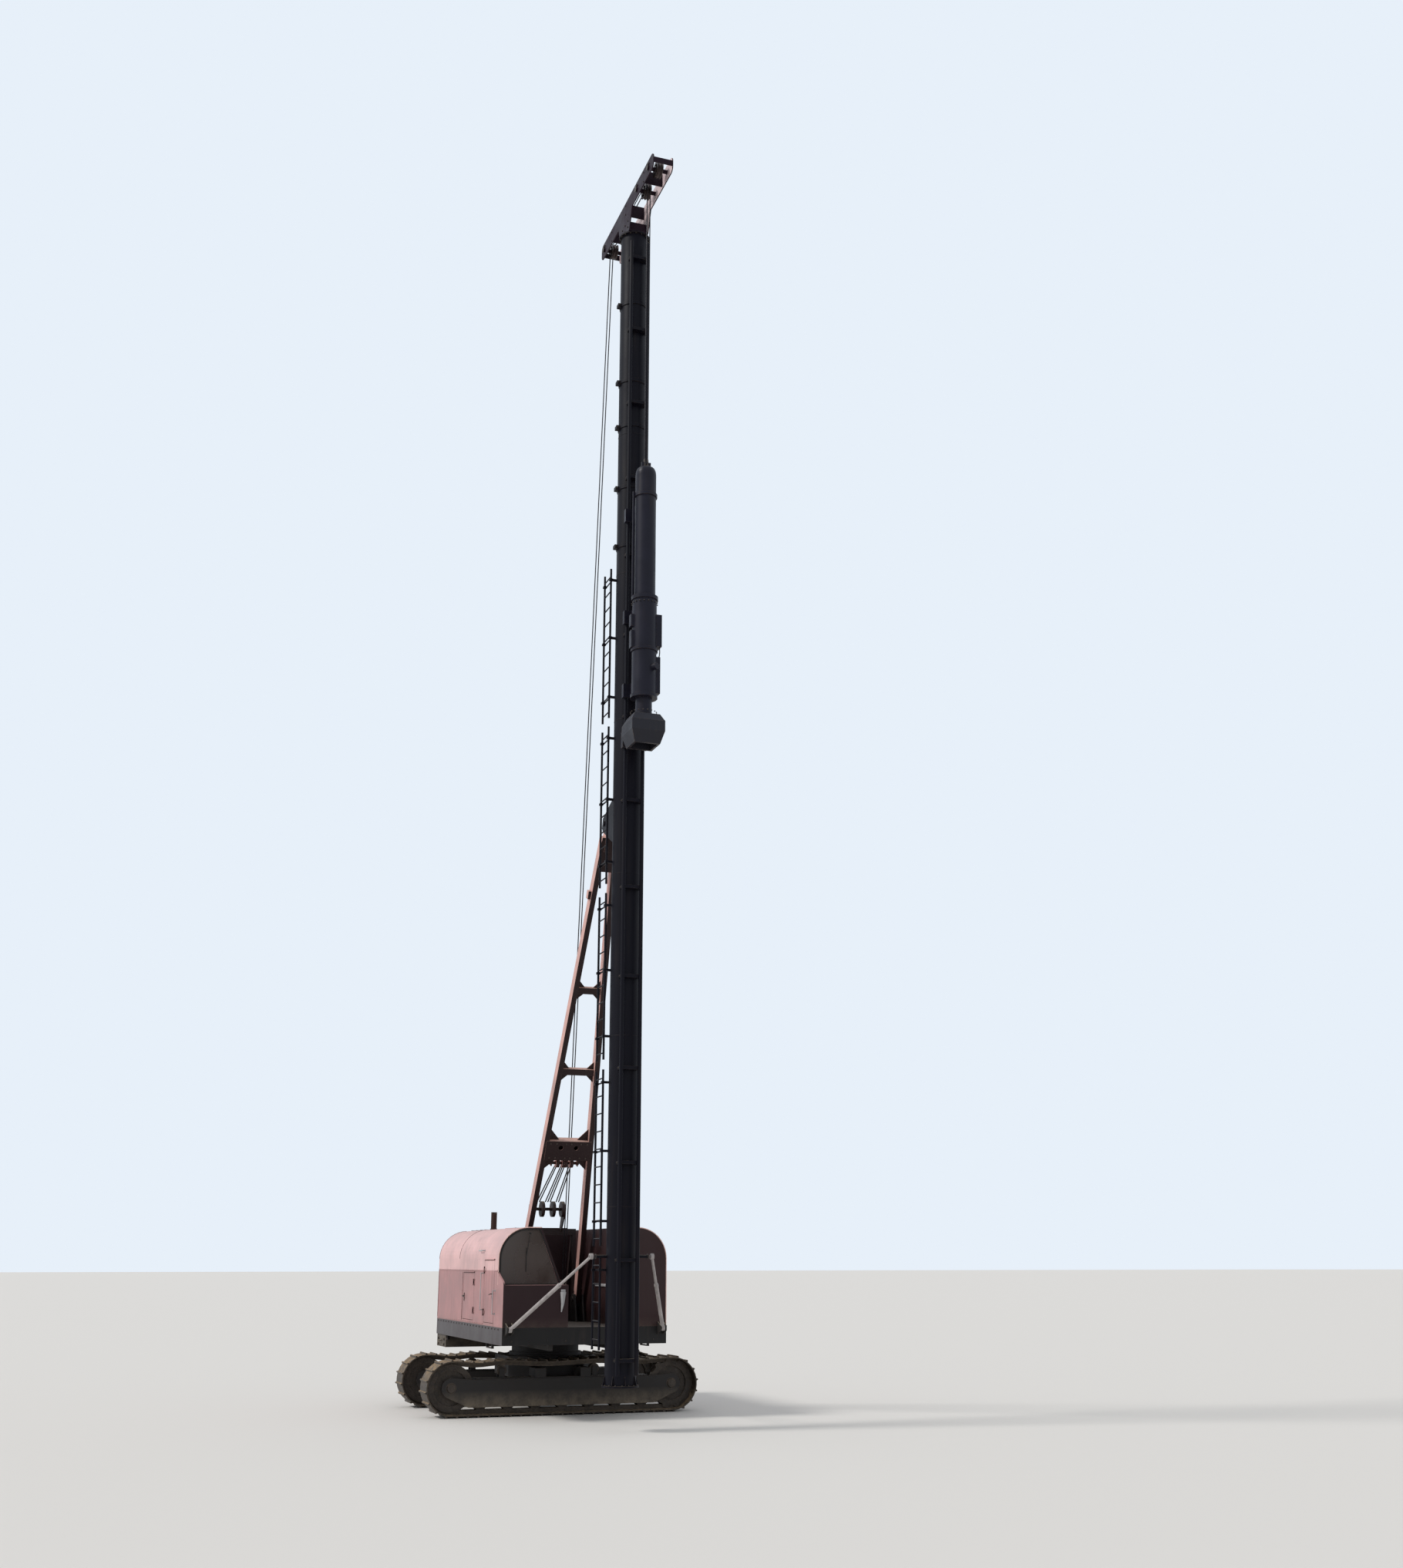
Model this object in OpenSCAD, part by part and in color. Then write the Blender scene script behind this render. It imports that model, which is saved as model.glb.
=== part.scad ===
// Pile driver rig: a crawler base with a slewing upper, an A-frame boom and a hanging
// tubular leader that carries a diesel hammer with its drive cap.
// Millimetres, +X forward to the leader, +Y to the machine's left, +Z up.
// The origin lies on the ground under the middle of the whole rig.

/* [Tracks] */
// Overall length of a track, over the shoes' ribs
track_l = 5200; // [4600:50:5800]
// Height of a track over its shoes' ribs
track_h = 1000; // [900:10:1080]
// Width of a track shoe
shoe_w = 600; // [450:10:700]
// Distance between the centre lines of the two tracks
track_gauge = 2400; // [2300:10:2600]
// Number of shoes on one track
shoe_n = 58; // [40:1:64]
// Thickness of a shoe's plate
shoe_t = 22; // [15:1:30]
// Height of the rib on a shoe
rib_h = 28; // [15:1:35]
// Height of the chain under the shoes
chain_h = 70; // [50:1:80]
// Width of the chain
chain_w = 190; // [150:5:230]
// How far the upper run hangs down between its rollers
sag = 34; // [10:1:45]
// Radius of a bottom roller
roller_r = 105; // [90:1:108]
// Number of bottom rollers on one track
roller_n = 7; // [5:1:8]
// Width of a track frame's beam
beam_w = 300; // [240:10:340]

/* [Undercarriage and turntable] */
// Width of the centre body along the tracks
body_l = 1700; // [1400:50:1900]
// Height of the top of the centre body
body_top = 1050; // [1040:10:1080]
// Depth of the centre body
body_d = 420; // [350:10:480]
// Outer radius of the turntable ring
ring_r = 640; // [560:10:700]
// Height of the turntable ring
ring_h = 130; // [110:5:160]

/* [Deck] */
// How far the deck reaches behind the turntable's axis
deck_rear = 2950; // [2700:50:3100]
// How far the deck and the house reach ahead of the turntable's axis
deck_front = 2750; // [2650:50:2850]
// Width of the house
house_w = 3050; // [2900:10:3150]
// Depth of the deck's side channels
deck_d = 300; // [250:10:340]
// Thickness of the deck's plate
plate_t = 22; // [15:1:30]
// Length of the counterweight slung under the deck's rear
cw_l = 850; // [600:10:1000]
// Height of the counterweight
cw_h = 235; // [180:5:238]

/* [House] */
// Height of the house over the deck
house_h = 1730; // [1600:10:1900]
// Thickness of a house panel
panel_t = 30; // [24:1:40]
// Radius of the roof's round shoulder
shoulder_r = 550; // [400:10:650]
// Height of the seam in the side over the deck
seam_h = 970; // [850:10:1050]
// Rear end of the open bay behind the boom's foot
bay_rear = -950; // [-1050:10:-900]
// Inner wall of the left wing
wing_y = 760; // [740:10:900]
// Rear end of the cab
cab_rear = 750; // [700:10:850]
// Inner wall of the cab
cab_y = -330; // [-380:10:-300]
// Height of the cab's sill over the deck
sill_h = 720; // [600:10:800]
// Clearance round a door
door_gap = 8; // [6:1:12]

/* [Winches and gantry] */
// Radius of a winch drum's barrel
drum_r = 170; // [140:5:200]
// Radius of a winch drum's flange
flange_r = 290; // [260:5:310]
// Place of the drum shaft ahead of the turntable's axis
drum_x = -480; // [-520:10:-450]
// Height of the drum shaft over the deck
drum_z = 480; // [400:10:560]
// Height of the gantry's head over the ground
gantry_z = 3700; // [3600:10:3900]
// Place of the gantry's head
gantry_x = -330; // [-400:10:-250]

/* [Boom] */
// Place of the boom's foot pin ahead of the turntable's axis
foot_x = 0; // [-20:10:60]
// Height of the boom's foot pin over the deck
foot_h = 420; // [380:10:460]
// Spacing of the boom's legs at the foot, centre to centre
foot_w = 1240; // [1220:10:1280]
// Height of the boom's head pin over the ground
head_z = 10600; // [10000:50:11000]
// Depth of a boom leg
leg_d = 200; // [180:5:220]
// Width of a boom leg
leg_w = 100; // [90:5:110]
// Plate thickness of a boom leg
leg_t = 12; // [8:1:14]

/* [Leader] */
// Place of the leader's centre line ahead of the turntable's axis
mast_x = 4850; // [4800:10:5000]
// Height of the leader's foot over the ground
mast_foot = 700; // [650:10:900]
// Height of the leader's top over the ground
mast_top = 22560; // [21500:20:22800]
// Diameter of the leader's tube
mast_d = 530; // [500:10:560]
// Wall of the leader's tube
mast_t = 12; // [10:1:16]
// Distance from the boom's head pin to the leader's centre line
pin_reach = 1000; // [950:10:1050]
// Reach of the head frame ahead of the leader's centre line
head_front = 1790; // [1650:10:1900]
// Reach of the head frame behind the leader's centre line
head_back = 1640; // [1550:10:1850]
// Width of the head frame
head_w = 410; // [360:10:440]
// Depth of the head frame's side plates
head_d = 335; // [300:5:400]
// Height of the head frame's underside over the leader's top
neck_h = 440; // [380:10:500]
// Radius of a head sheave
sheave_r = 160; // [140:5:165]
// Spacing of the two guide rails
rail_w = 330; // [300:10:360]
// Radius of a guide rail
rail_r = 35; // [30:1:40]

/* [Hammer] */
// Distance from the leader's centre line to the hammer's
hammer_x = 900; // [860:10:940]
// Height of the hammer's lower end over the ground
hammer_z = 12140; // [11000:20:13500]
// Radius of the hammer's upper cylinder
upper_r = 195; // [170:5:210]
// Radius of the hammer's lower cylinder
lower_r = 225; // [205:5:240]
// Length of the hammer
hammer_l = 4900; // [4500:50:5100]
// Height of the drive cap
cap_h = 560; // [480:10:620]
// Width of the drive cap
cap_w = 620; // [560:10:680]

/* [Hidden] */
$fn = 48;
seat = 0.3;                     // gap between pieces that rest on each other
running = 0.05;                 // radial clearance of a shaft in its bore
move_gap = 12;                  // side clearance of pieces that move past each other

slew_x = -(mast_x + head_front - deck_rear)/2;   // turntable's axis, from the rig's middle
path_r = track_h/2 - rib_h;     // outer face of the shoes' plates
wheel_r = path_r - shoe_t - chain_h - seat;
axle_z = track_h/2;
axle_y = track_l/2 - track_h/2;
beam_l = 2*axle_y - 2*wheel_r - 160;
beam_z = 360;                   // underside of a track frame's beam
beam_h = 300;
carrier_y = [-1150, 620];       // places of the two rollers under the upper run
carrier_r = 90;
deck_z = body_top + ring_h + 400;  // top of the deck, which carries the house
frame_z = body_top + ring_h;    // underside of the deck's main girders
half_w = house_w/2;
roof_z = deck_z + house_h;
flat_y = half_w - shoulder_r;   // half width of the flat roof
foot_z = deck_z + foot_h;
head_pin_x = mast_x - pin_reach;
boom_rise = head_z - foot_z;
boom_run = head_pin_x - foot_x;
boom_len = sqrt(boom_rise*boom_rise + boom_run*boom_run);
boom_tilt = atan2(boom_run, boom_rise);
rail_x = mast_x + mast_d/2 + 95;
hammer_cx = mast_x + hammer_x;
head_bottom = mast_top + neck_h;

function arc(cx, cz, r, a0, a1, n) = [for (i = [0:n]) let(a = a0 + (a1 - a0)*i/n) [cx + r*cos(a),
    cz + r*sin(a)]];

// Everything stands on the turntable's axis.
module on_axis() { translate([slew_x, 0, 0]) children(); }

// A flat bar between two heights z, in the upright plane across the machine or along it.
module cross_bar(y0, z0, y1, z1, w, d) {
    translate([-d/2, 0, 0]) rotate([90, 0, 90]) linear_extrude(d)
        polygon([[y0 - w/2, z0], [y0 + w/2, z0], [y1 + w/2, z1], [y1 - w/2, z1]]);
}
module long_bar(x0, z0, x1, z1, w, y, d) {
    translate([0, y + d/2, 0]) rotate([90, 0, 0]) linear_extrude(d)
        polygon([[x0 - w/2, z0], [x0 + w/2, z0], [x1 + w/2, z1], [x1 - w/2, z1]]);
}
// A round bar between two points.
module rod(p, q, r) {
    v = q - p;
    l = norm(v);
    translate(p) rotate([0, acos(v[2]/l), atan2(v[1], v[0])]) cylinder(r = r, h = l);
}

// Track: the upper run hangs between the end wheels and the rollers under it.
rests = [-axle_y, carrier_y[0], carrier_y[1], axle_y];
function drop(y, i) = let(a = rests[i], b = rests[i + 1], t = (y - a)/(b - a)) sag*pow(sin(180*t), 2);
function top_drop(y) = y <= rests[1] ? drop(y, 0) : y <= rests[2] ? drop(y, 1) : drop(y, 2);
loop_len = 4*axle_y + 2*PI*path_r;
// Point at distance s along the loop, lifted by h from the plates' outer face.
function on_loop(s, h) =
    s < 2*axle_y ? [-axle_y + s, axle_z - path_r - h]
    : s < 2*axle_y + PI*path_r ? let(a = -90 + (s - 2*axle_y)/path_r*180/PI)
        [axle_y + (path_r + h)*cos(a), axle_z + (path_r + h)*sin(a)]
    : s < 4*axle_y + PI*path_r ? let(y = axle_y - (s - 2*axle_y - PI*path_r))
        [y, axle_z + path_r + h - top_drop(y)]
    : let(a = 90 + (s - 4*axle_y - PI*path_r)/path_r*180/PI)
        [-axle_y + (path_r + h)*cos(a), axle_z + (path_r + h)*sin(a)];
pitch = loop_len/shoe_n;
shoe_line = [for (i = [0:shoe_n - 1]) each [on_loop(i*pitch, 0), on_loop((i + 0.42)*pitch, 0),
    on_loop((i + 0.48)*pitch, rib_h), on_loop((i + 0.58)*pitch, rib_h), on_loop((i + 0.64)*pitch, 0)]];
// Smooth line at height h: the lower run, one end, the three hanging spans, the other end.
function ring_line(h) = let(r = path_r + h) concat(
    arc(axle_y, axle_z, r, -90, 90, 24),
    [for (k = [2:-1:0], i = [0:7]) let(a = rests[k], b = rests[k + 1], y = b + (a - b)*i/8)
        [y, axle_z + r - top_drop(y)]],
    arc(-axle_y, axle_z, r, 90, 270, 24));

module track(x) {
    translate([x, 0, 0]) rotate([90, 0, 90]) {
        translate([0, 0, -shoe_w/2]) linear_extrude(shoe_w)
            difference() { polygon(shoe_line); polygon(ring_line(-shoe_t)); }
        translate([0, 0, -chain_w/2]) linear_extrude(chain_w)
            difference() { polygon(ring_line(-shoe_t + 2)); polygon(ring_line(-shoe_t - chain_h)); }
    }
}
roller_z = axle_z - wheel_r + roller_r;
carrier_z = axle_z + wheel_r - carrier_r;
fork_t = 30;                    // side plates of a track frame
post_x = 85;                    // inner face of the posts that hold an upper roller
axle_r = 95;
rim_t = 25;                     // flanges that run beside the chain
flange_x = chain_w/2 + 2*seat;  // inner face of those flanges
lobe_n = 11;                    // lobes on the driven wheel
function lobe_line(r0, r1) = [for (i = [0:lobe_n - 1]) let(a = 360*i/lobe_n, w = 360/lobe_n)
    each [for (k = [[0, r0], [0.3, r0], [0.42, r1], [0.78, r1], [0.9, r0]]) k[1]*[cos(a + k[0]*w),
        sin(a + k[0]*w)]]];
// Body of an end wheel: a drum under the chain with a hollowed face on either side.
module wheel_body() {
    face_x = flange_x + rim_t;
    difference() {
        cylinder(r = wheel_r - 1, h = 2*face_x, center = true, $fn = 72);
        for (s = [-1, 1]) translate([0, 0, s*face_x]) difference() {
            cylinder(r = wheel_r - 70, h = 90, center = true, $fn = 72);
            cylinder(r = axle_r + 55, h = 92, center = true);
        }
    }
    cylinder(r = axle_r, h = beam_w + 2*fork_t, center = true);
}
module both_flanges() { for (s = [-1, 1]) translate([0, 0, s*(flange_x + rim_t/2)]) linear_extrude(rim_t,
    center = true) children(); }
module driven_wheel() {
    wheel_body();
    both_flanges() difference() {
        polygon(lobe_line(wheel_r + 16, path_r - shoe_t - 8));
        circle(r = wheel_r - 2, $fn = 72);
    }
}
module idler() {
    wheel_body();
    both_flanges() difference() {
        circle(r = wheel_r + 34, $fn = 72);
        circle(r = wheel_r - 2, $fn = 72);
    }
}
module roller(r, w, axle_l) {
    cylinder(r = r, h = w, center = true);
    for (s = [-1, 1]) translate([0, 0, s*(flange_x + 8)]) cylinder(r = r + 16, h = 16, center = true);
    cylinder(r = 30, h = axle_l, center = true);
}
module track_wheels(x) {
    translate([x, 0, 0]) rotate([0, 90, 0]) {
        translate([-axle_z, axle_y, 0]) driven_wheel();
        translate([-axle_z, -axle_y, 0]) idler();
        for (i = [0:roller_n - 1]) translate([-roller_z,
            (i - (roller_n - 1)/2)*(beam_l - 200)/(roller_n - 1), 0])
            roller(roller_r, 2*flange_x + 1, beam_w - 2*seat);
        for (y = carrier_y) translate([-carrier_z, y, 0]) {
            cylinder(r = carrier_r, h = 2*post_x - 30, center = true);
            cylinder(r = 30, h = 2*post_x - 2*seat, center = true);
        }
    }
}
// Outline of a track frame's side plate: round ends about the axles, a raised middle.
end_r = 175;
plate_low = roller_z - 60;
plate_line = concat(arc(axle_y, axle_z, end_r, -60, 105, 10), [[axle_y - 420, beam_z + beam_h - 20],
    [420 - axle_y, beam_z + beam_h - 20]],
    arc(-axle_y, axle_z, end_r, 75, 240, 10), [[330 - axle_y, plate_low], [axle_y - 330, plate_low]]);
module track_frame(x) {
    translate([x, 0, 0]) {
        translate([-beam_w/2, -beam_l/2, beam_z]) cube([beam_w, beam_l, beam_h]);
        for (s = [-1, 1]) {
            translate([s*(beam_w + fork_t)/2 - fork_t/2, 0, 0]) rotate([90, 0, 90])
                linear_extrude(fork_t) difference() {
                polygon(plate_line);
                for (y = [-axle_y, axle_y]) translate([y, axle_z]) circle(r = axle_r + seat);
            }
            for (y = carrier_y) translate([s*(post_x + 10) - 10, y - 50, beam_z + beam_h - 1])
                cube([20, 100, carrier_z - beam_z - beam_h + 40]);
        }
    }
}

module car_body() {
    side = track_gauge/2 - shoe_w/2 - 30;
    axle_d = 150;
    axle_w = 200;
    cut = 320;                  // corners taken off the centre body
    collar_h = 60;              // round collar that carries the turntable
    top = body_top - collar_h;
    on_axis() color("dimgray") difference() {
        union() {
            translate([0, 0, body_top - body_d]) linear_extrude(body_d - collar_h) polygon([[-side,
                cut - body_l/2],
                [cut - side, -body_l/2], [side - cut, -body_l/2], [side, cut - body_l/2], [side,
                    body_l/2 - cut],
                [side - cut, body_l/2], [cut - side, body_l/2], [-side, body_l/2 - cut]]);
            translate([0, 0, top - 1]) cylinder(r = ring_r + 50, h = collar_h + 1, $fn = 96);
            for (y = [-1, 1]) translate([-track_gauge/2 - beam_w/2, y*(body_l/2 - 420) - axle_w/2,
                beam_z + beam_h + seat])
                cube([track_gauge + beam_w, axle_w, axle_d]);
        }
        translate([0, 0, body_top - 200]) cylinder(r = 300, h = 300);
    }
}
module slew_ring() {
    on_axis() color("gray") translate([0, 0, body_top + seat]) difference() {
        cylinder(r = ring_r, h = ring_h - 2*seat, $fn = 96);
        translate([0, 0, -1]) cylinder(r = ring_r - 150, h = ring_h + 2, $fn = 96);
    }
}
module track_frame_front() { on_axis() color([0.2, 0.19, 0.18]) track_frame(track_gauge/2); }
module track_frame_rear() { on_axis() color([0.2, 0.19, 0.18]) track_frame(-track_gauge/2); }
module track_front() { on_axis() color([0.36, 0.32, 0.27]) track(track_gauge/2); }
module track_rear() { on_axis() color([0.36, 0.32, 0.27]) track(-track_gauge/2); }
module track_wheels_front() { on_axis() color([0.3, 0.28, 0.25]) track_wheels(track_gauge/2); }
module track_wheels_rear() { on_axis() color([0.3, 0.28, 0.25]) track_wheels(-track_gauge/2); }

// House section: upright side up to the shoulder, a round shoulder, a flat roof. The
// points run from the deck up one side (positive y) to the middle of the roof.
function side_line(inset) = concat([[half_w - inset, deck_z + seat]],
    arc(flat_y, roof_z - shoulder_r, shoulder_r - inset, 0, 90, 12));

channel_w = 70;                 // width of the deck's side and end channels
girder_w = 80;                  // width of the deck frame's girders
cross_x = [-2400, -900, 700, 1800];   // places of the deck frame's cross members
foot_pin_r = 45;                // pins at the boom's foot
foot_plate_t = 30;              // plates that carry those pins
module deck() {
    rim_h = deck_d - plate_t - seat;
    on_axis() color([0.42, 0.42, 0.45]) {
        translate([-deck_rear, -half_w, deck_z - plate_t]) cube([deck_rear + deck_front, house_w, plate_t]);
        for (s = [-1, 1]) translate([-deck_rear, s*(half_w - channel_w/2) - channel_w/2, deck_z - deck_d])
            cube([deck_rear + deck_front, channel_w, rim_h]);
        for (x = [-deck_rear, deck_front - channel_w]) translate([x, -half_w + channel_w + seat,
            deck_z - deck_d])
            cube([channel_w, house_w - 2*channel_w - 2*seat, rim_h]);
    }
}
girder_d = 400;                 // from the girders' underside to the plate's top
module deck_frame() {
    girder_h = girder_d - plate_t - seat;
    on_axis() color([0.12, 0.11, 0.11]) {
        for (s = [-1, 1]) translate([-deck_rear + channel_w + seat, s*foot_w/2 - girder_w/2, frame_z])
            cube([deck_rear + deck_front - 2*channel_w - 2*seat, girder_w, girder_h]);
        for (x = cross_x) translate([x, -foot_w/2 + girder_w/2 + seat, deck_z - deck_d])
            cube([girder_w, foot_w - girder_w - 2*seat, deck_d - plate_t - seat]);
        translate([0, 0, frame_z]) difference() {
            intersection() {
                cylinder(r = ring_r + 60, h = 60, $fn = 96);
                translate([-ring_r - 60, -foot_w/2 + girder_w/2 + seat, 0])
                    cube([2*ring_r + 120, foot_w - girder_w - 2*seat, 60]);
            }
            translate([0, 0, -1]) cylinder(r = 320, h = 62);
        }
    }
}
// Plates on the deck with the pins of the boom's foot.
module boom_forks() {
    plate_y = leg_w/2 + move_gap + foot_plate_t/2;
    on_axis() color([0.12, 0.11, 0.11]) for (s = [-1, 1]) {
        for (e = [-1, 1]) foot_plate(s*foot_w/2 + e*plate_y);
        translate([foot_x, s*foot_w/2 - plate_y - foot_plate_t, foot_z]) rotate([-90, 0, 0])
            cylinder(r = foot_pin_r, h = 2*plate_y + 2*foot_plate_t);
    }
}
module foot_plate(y) {
    low = 260;                  // half length at the deck
    high = 110;                 // half length at the pin
    translate([foot_x, y + foot_plate_t/2, 0]) rotate([90, 0, 0]) linear_extrude(foot_plate_t)
        polygon([[-low, deck_z + seat], [low, deck_z + seat], [high, foot_z + 90], [-high, foot_z + 90]]);
}
// Forks on the deck's front face that hold the struts' lower eyes.
module strut_forks() {
    fork_side = 20;
    root = 110;                 // half height of a fork at the deck
    tip = 45;
    on_axis() color([0.12, 0.11, 0.11]) for (s = [-1, 1]) {
        for (e = [-1, 1]) translate([0,
            s*strut_in[1] + e*(strut_eye + 2*move_gap + fork_side)/2 + fork_side/2, 0])
            rotate([90, 0, 0]) linear_extrude(fork_side)
                polygon([[deck_front + seat, strut_in[2] - root], [deck_front + seat, strut_in[2] + root],
                    [strut_in[0] + tip, strut_in[2] + tip], [strut_in[0] + tip, strut_in[2] - tip]]);
        translate([strut_in[0], s*strut_in[1] - strut_eye/2 - move_gap - fork_side, strut_in[2]])
            rotate([-90, 0, 0])
            cylinder(r = strut_pin_r, h = strut_eye + 2*move_gap + 2*fork_side);
    }
}
module counterweight() {
    on_axis() color([0.2, 0.17, 0.17])
        translate([-deck_rear, -half_w + 20, deck_z - deck_d - cw_h - seat]) difference() {
            cube([cw_l, house_w - 40, cw_h]);
            for (s = [-1, 1]) translate([-1, half_w - 20 + s*foot_w/2 - girder_w/2 - move_gap,
                frame_z - deck_z + deck_d + cw_h])
                cube([cw_l + 2, girder_w + 2*move_gap, cw_h]);
        }
}
engine_rear = 2500;             // behind the slewing axis
engine_side = 800;              // right of it
engine_l = 1250;
engine_w = 1100;
engine_h = 1050;
module engine() {
    on_axis() color([0.3, 0.32, 0.3]) translate([-engine_rear, -engine_side, deck_z + seat])
        cube([engine_l, engine_w, engine_h]);
}

// Side wall with its half of the shoulder, between two places along the machine.
module side_shell(s, x0, x1) {
    line = concat(side_line(0), [for (i = [len(side_line(0)) - 1:-1:0]) side_line(panel_t)[i]]);
    mirror([0, s < 0 ? 1 : 0, 0]) translate([x0, 0, 0]) rotate([90, 0, 90]) linear_extrude(x1 - x0)
        polygon(line);
}
left_door_x = [-2400, -1500];
door_x0 = -520;
door_x1 = 400;
door_z0 = deck_z + 60;
door_z1 = deck_z + seam_h - 40;
module door_hole(s, x0, x1, z0, z1) {
    translate([x0, s*half_w - 100, z0]) cube([x1 - x0, 200, z1 - z0]);
}
module inner_wall(s, x0, x1) {
    translate([x0, s > 0 ? wing_y : -wing_y - panel_t, deck_z + seat]) cube([x1 - x0, panel_t,
        house_h - seat]);
    translate([x0, s > 0 ? wing_y : -flat_y, roof_z - panel_t]) cube([x1 - x0, flat_y - wing_y, panel_t]);
}
module house_right() {
    on_axis() color([0.85, 0.55, 0.52]) {
        difference() {
            side_shell(-1, -deck_rear, cab_rear - seat);
            door_hole(-1, door_x0, door_x1, door_z0, door_z1);
        }
        inner_wall(-1, bay_rear + seat, cab_rear - seat);
        door_hinges(door_z0, door_z1) wall_hinge(-1, door_x1 - door_gap, -1, 0);
    }
}
module house_left() {
    on_axis() color([0.85, 0.55, 0.52]) {
        difference() {
            side_shell(1, -deck_rear, bay_rear);
            door_hole(1, left_door_x[0], left_door_x[1], door_z0, door_z1);
        }
        door_hinges(door_z0, door_z1) wall_hinge(1, left_door_x[1] - door_gap, -1, 0);
    }
}
module left_wing() {
    on_axis() color([0.8, 0.5, 0.47]) {
        side_shell(1, bay_rear + seat, deck_front);
        inner_wall(1, bay_rear + seat, deck_front);
        translate([deck_front - panel_t, 0, 0]) rotate([90, 0, 90]) linear_extrude(panel_t)
            polygon(concat([[wing_y, deck_z + seat]], side_line(0), [[wing_y, roof_z]]));
    }
}
hatch_l = 1100;                 // raised hatch over the engine
hatch_h = 50;
exhaust_at = [-2250, -560];
exhaust_r = 60;
module house_roof() {
    hatch_x = -1900;
    on_axis() color([0.82, 0.53, 0.5]) difference() {
        union() {
            translate([-deck_rear, -flat_y + seat, roof_z - panel_t]) cube([deck_rear + bay_rear,
                2*flat_y - 2*seat, panel_t]);
            translate([hatch_x, -hatch_l/2 + 150, roof_z - 1]) cube([hatch_l*0.75, hatch_l, hatch_h + 1]);
        }
        translate([exhaust_at[0], exhaust_at[1], roof_z - panel_t - 1]) cylinder(r = exhaust_r + seat,
            h = panel_t + 2);
    }
}
// Rear wall with the radiator's louvres, and the bulkhead ahead of the engine.
grille_w = 1300;
grille_low = 260;               // above the deck
grille_h = 800;
grille_z = [deck_z + grille_low, deck_z + grille_low + grille_h];
louvre_gap = 80;
module house_rear() {
    line = side_line(panel_t + seat);
    on_axis() color([0.8, 0.5, 0.48]) for (x = [-deck_rear, bay_rear - panel_t]) difference() {
        translate([x, 0, 0]) rotate([90, 0, 90]) linear_extrude(panel_t)
            polygon(concat(line, [for (i = [len(line) - 1:-1:0]) [-line[i][0], line[i][1]]]));
        if (x < bay_rear - panel_t) for (z = [grille_z[0]:louvre_gap:grille_z[1]], s = [-1, 1])
            translate([x + panel_t/2, s*grille_w/4, z]) rotate([0, 35, 0]) cube([4*panel_t,
                grille_w/2 - 60, louvre_gap/2], center = true);
    }
}

// Cab: the right front corner of the house.
cab_notch = 1250;               // the boom's leg stands behind the cab's inner corner
cab_step = 450;                 // the lower front stands this far ahead of the windscreen
screen_x = deck_front - cab_step;
screen_lean = 400;              // how far the windscreen's inner edge leans at the top
function cab_line(t) = concat([for (p = side_line(t)) [-p[0], p[1]]], [[cab_y - screen_lean - t,
    roof_z - t],
    [cab_y - t, deck_z + sill_h - t], [cab_y - t, deck_z + seat]]);
module cab_block(t) {
    intersection() {
        translate([cab_rear + t, 0, 0]) rotate([90, 0, 90]) linear_extrude(deck_front - cab_rear - 2*t)
            polygon(cab_line(t));
        translate([0, 0, deck_z]) linear_extrude(house_h + 10) polygon([[cab_rear + t, -half_w],
            [deck_front - t, -half_w],
            [deck_front - t, cab_y - t], [cab_notch + t, cab_y - t], [cab_notch + t, -wing_y - t],
                [cab_rear + t, -wing_y - t]]);
        rotate([90, 0, 0]) translate([0, 0, cab_y - 10]) linear_extrude(2*half_w) polygon([[cab_rear,
            deck_z],
            [deck_front + 1, deck_z], [deck_front + 1, deck_z + sill_h - t], [screen_x - t,
                deck_z + sill_h - t],
            [screen_x - t, roof_z + 10], [cab_rear, roof_z + 10]]);
    }
}
cab_door_x = [1250, 2030];
cab_door_z = [deck_z + 50, roof_z - shoulder_r - 25];
module cab() {
    curve_n = 10;
    on_axis() color([0.85, 0.55, 0.52]) {
        difference() {
            cab_block(0);
            cab_block(panel_t);
            window_hole(screen_x - 200, 400, 0);
            door_hole(-1, cab_door_x[0], cab_door_x[1], cab_door_z[0], cab_door_z[1]);
        }
        // Cheek: the side panel sweeps forward from the windscreen to the lower front.
        translate([0, -half_w + panel_t, 0]) rotate([90, 0, 0]) linear_extrude(panel_t)
            polygon(concat([[screen_x - 1, deck_z + sill_h - 1]], [for (i = [0:curve_n])
                [screen_x + cab_step*(1 + cos(180*i/curve_n))/2,
                    deck_z + sill_h - 1 + (seam_h - sill_h + 1)*i/curve_n]],
                [[screen_x - 1, deck_z + seam_h]]));
        door_hinges(cab_door_z[0], cab_door_z[1]) wall_hinge(-1, cab_door_x[0] + door_gap, 1, 0);
    }
}
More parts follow.
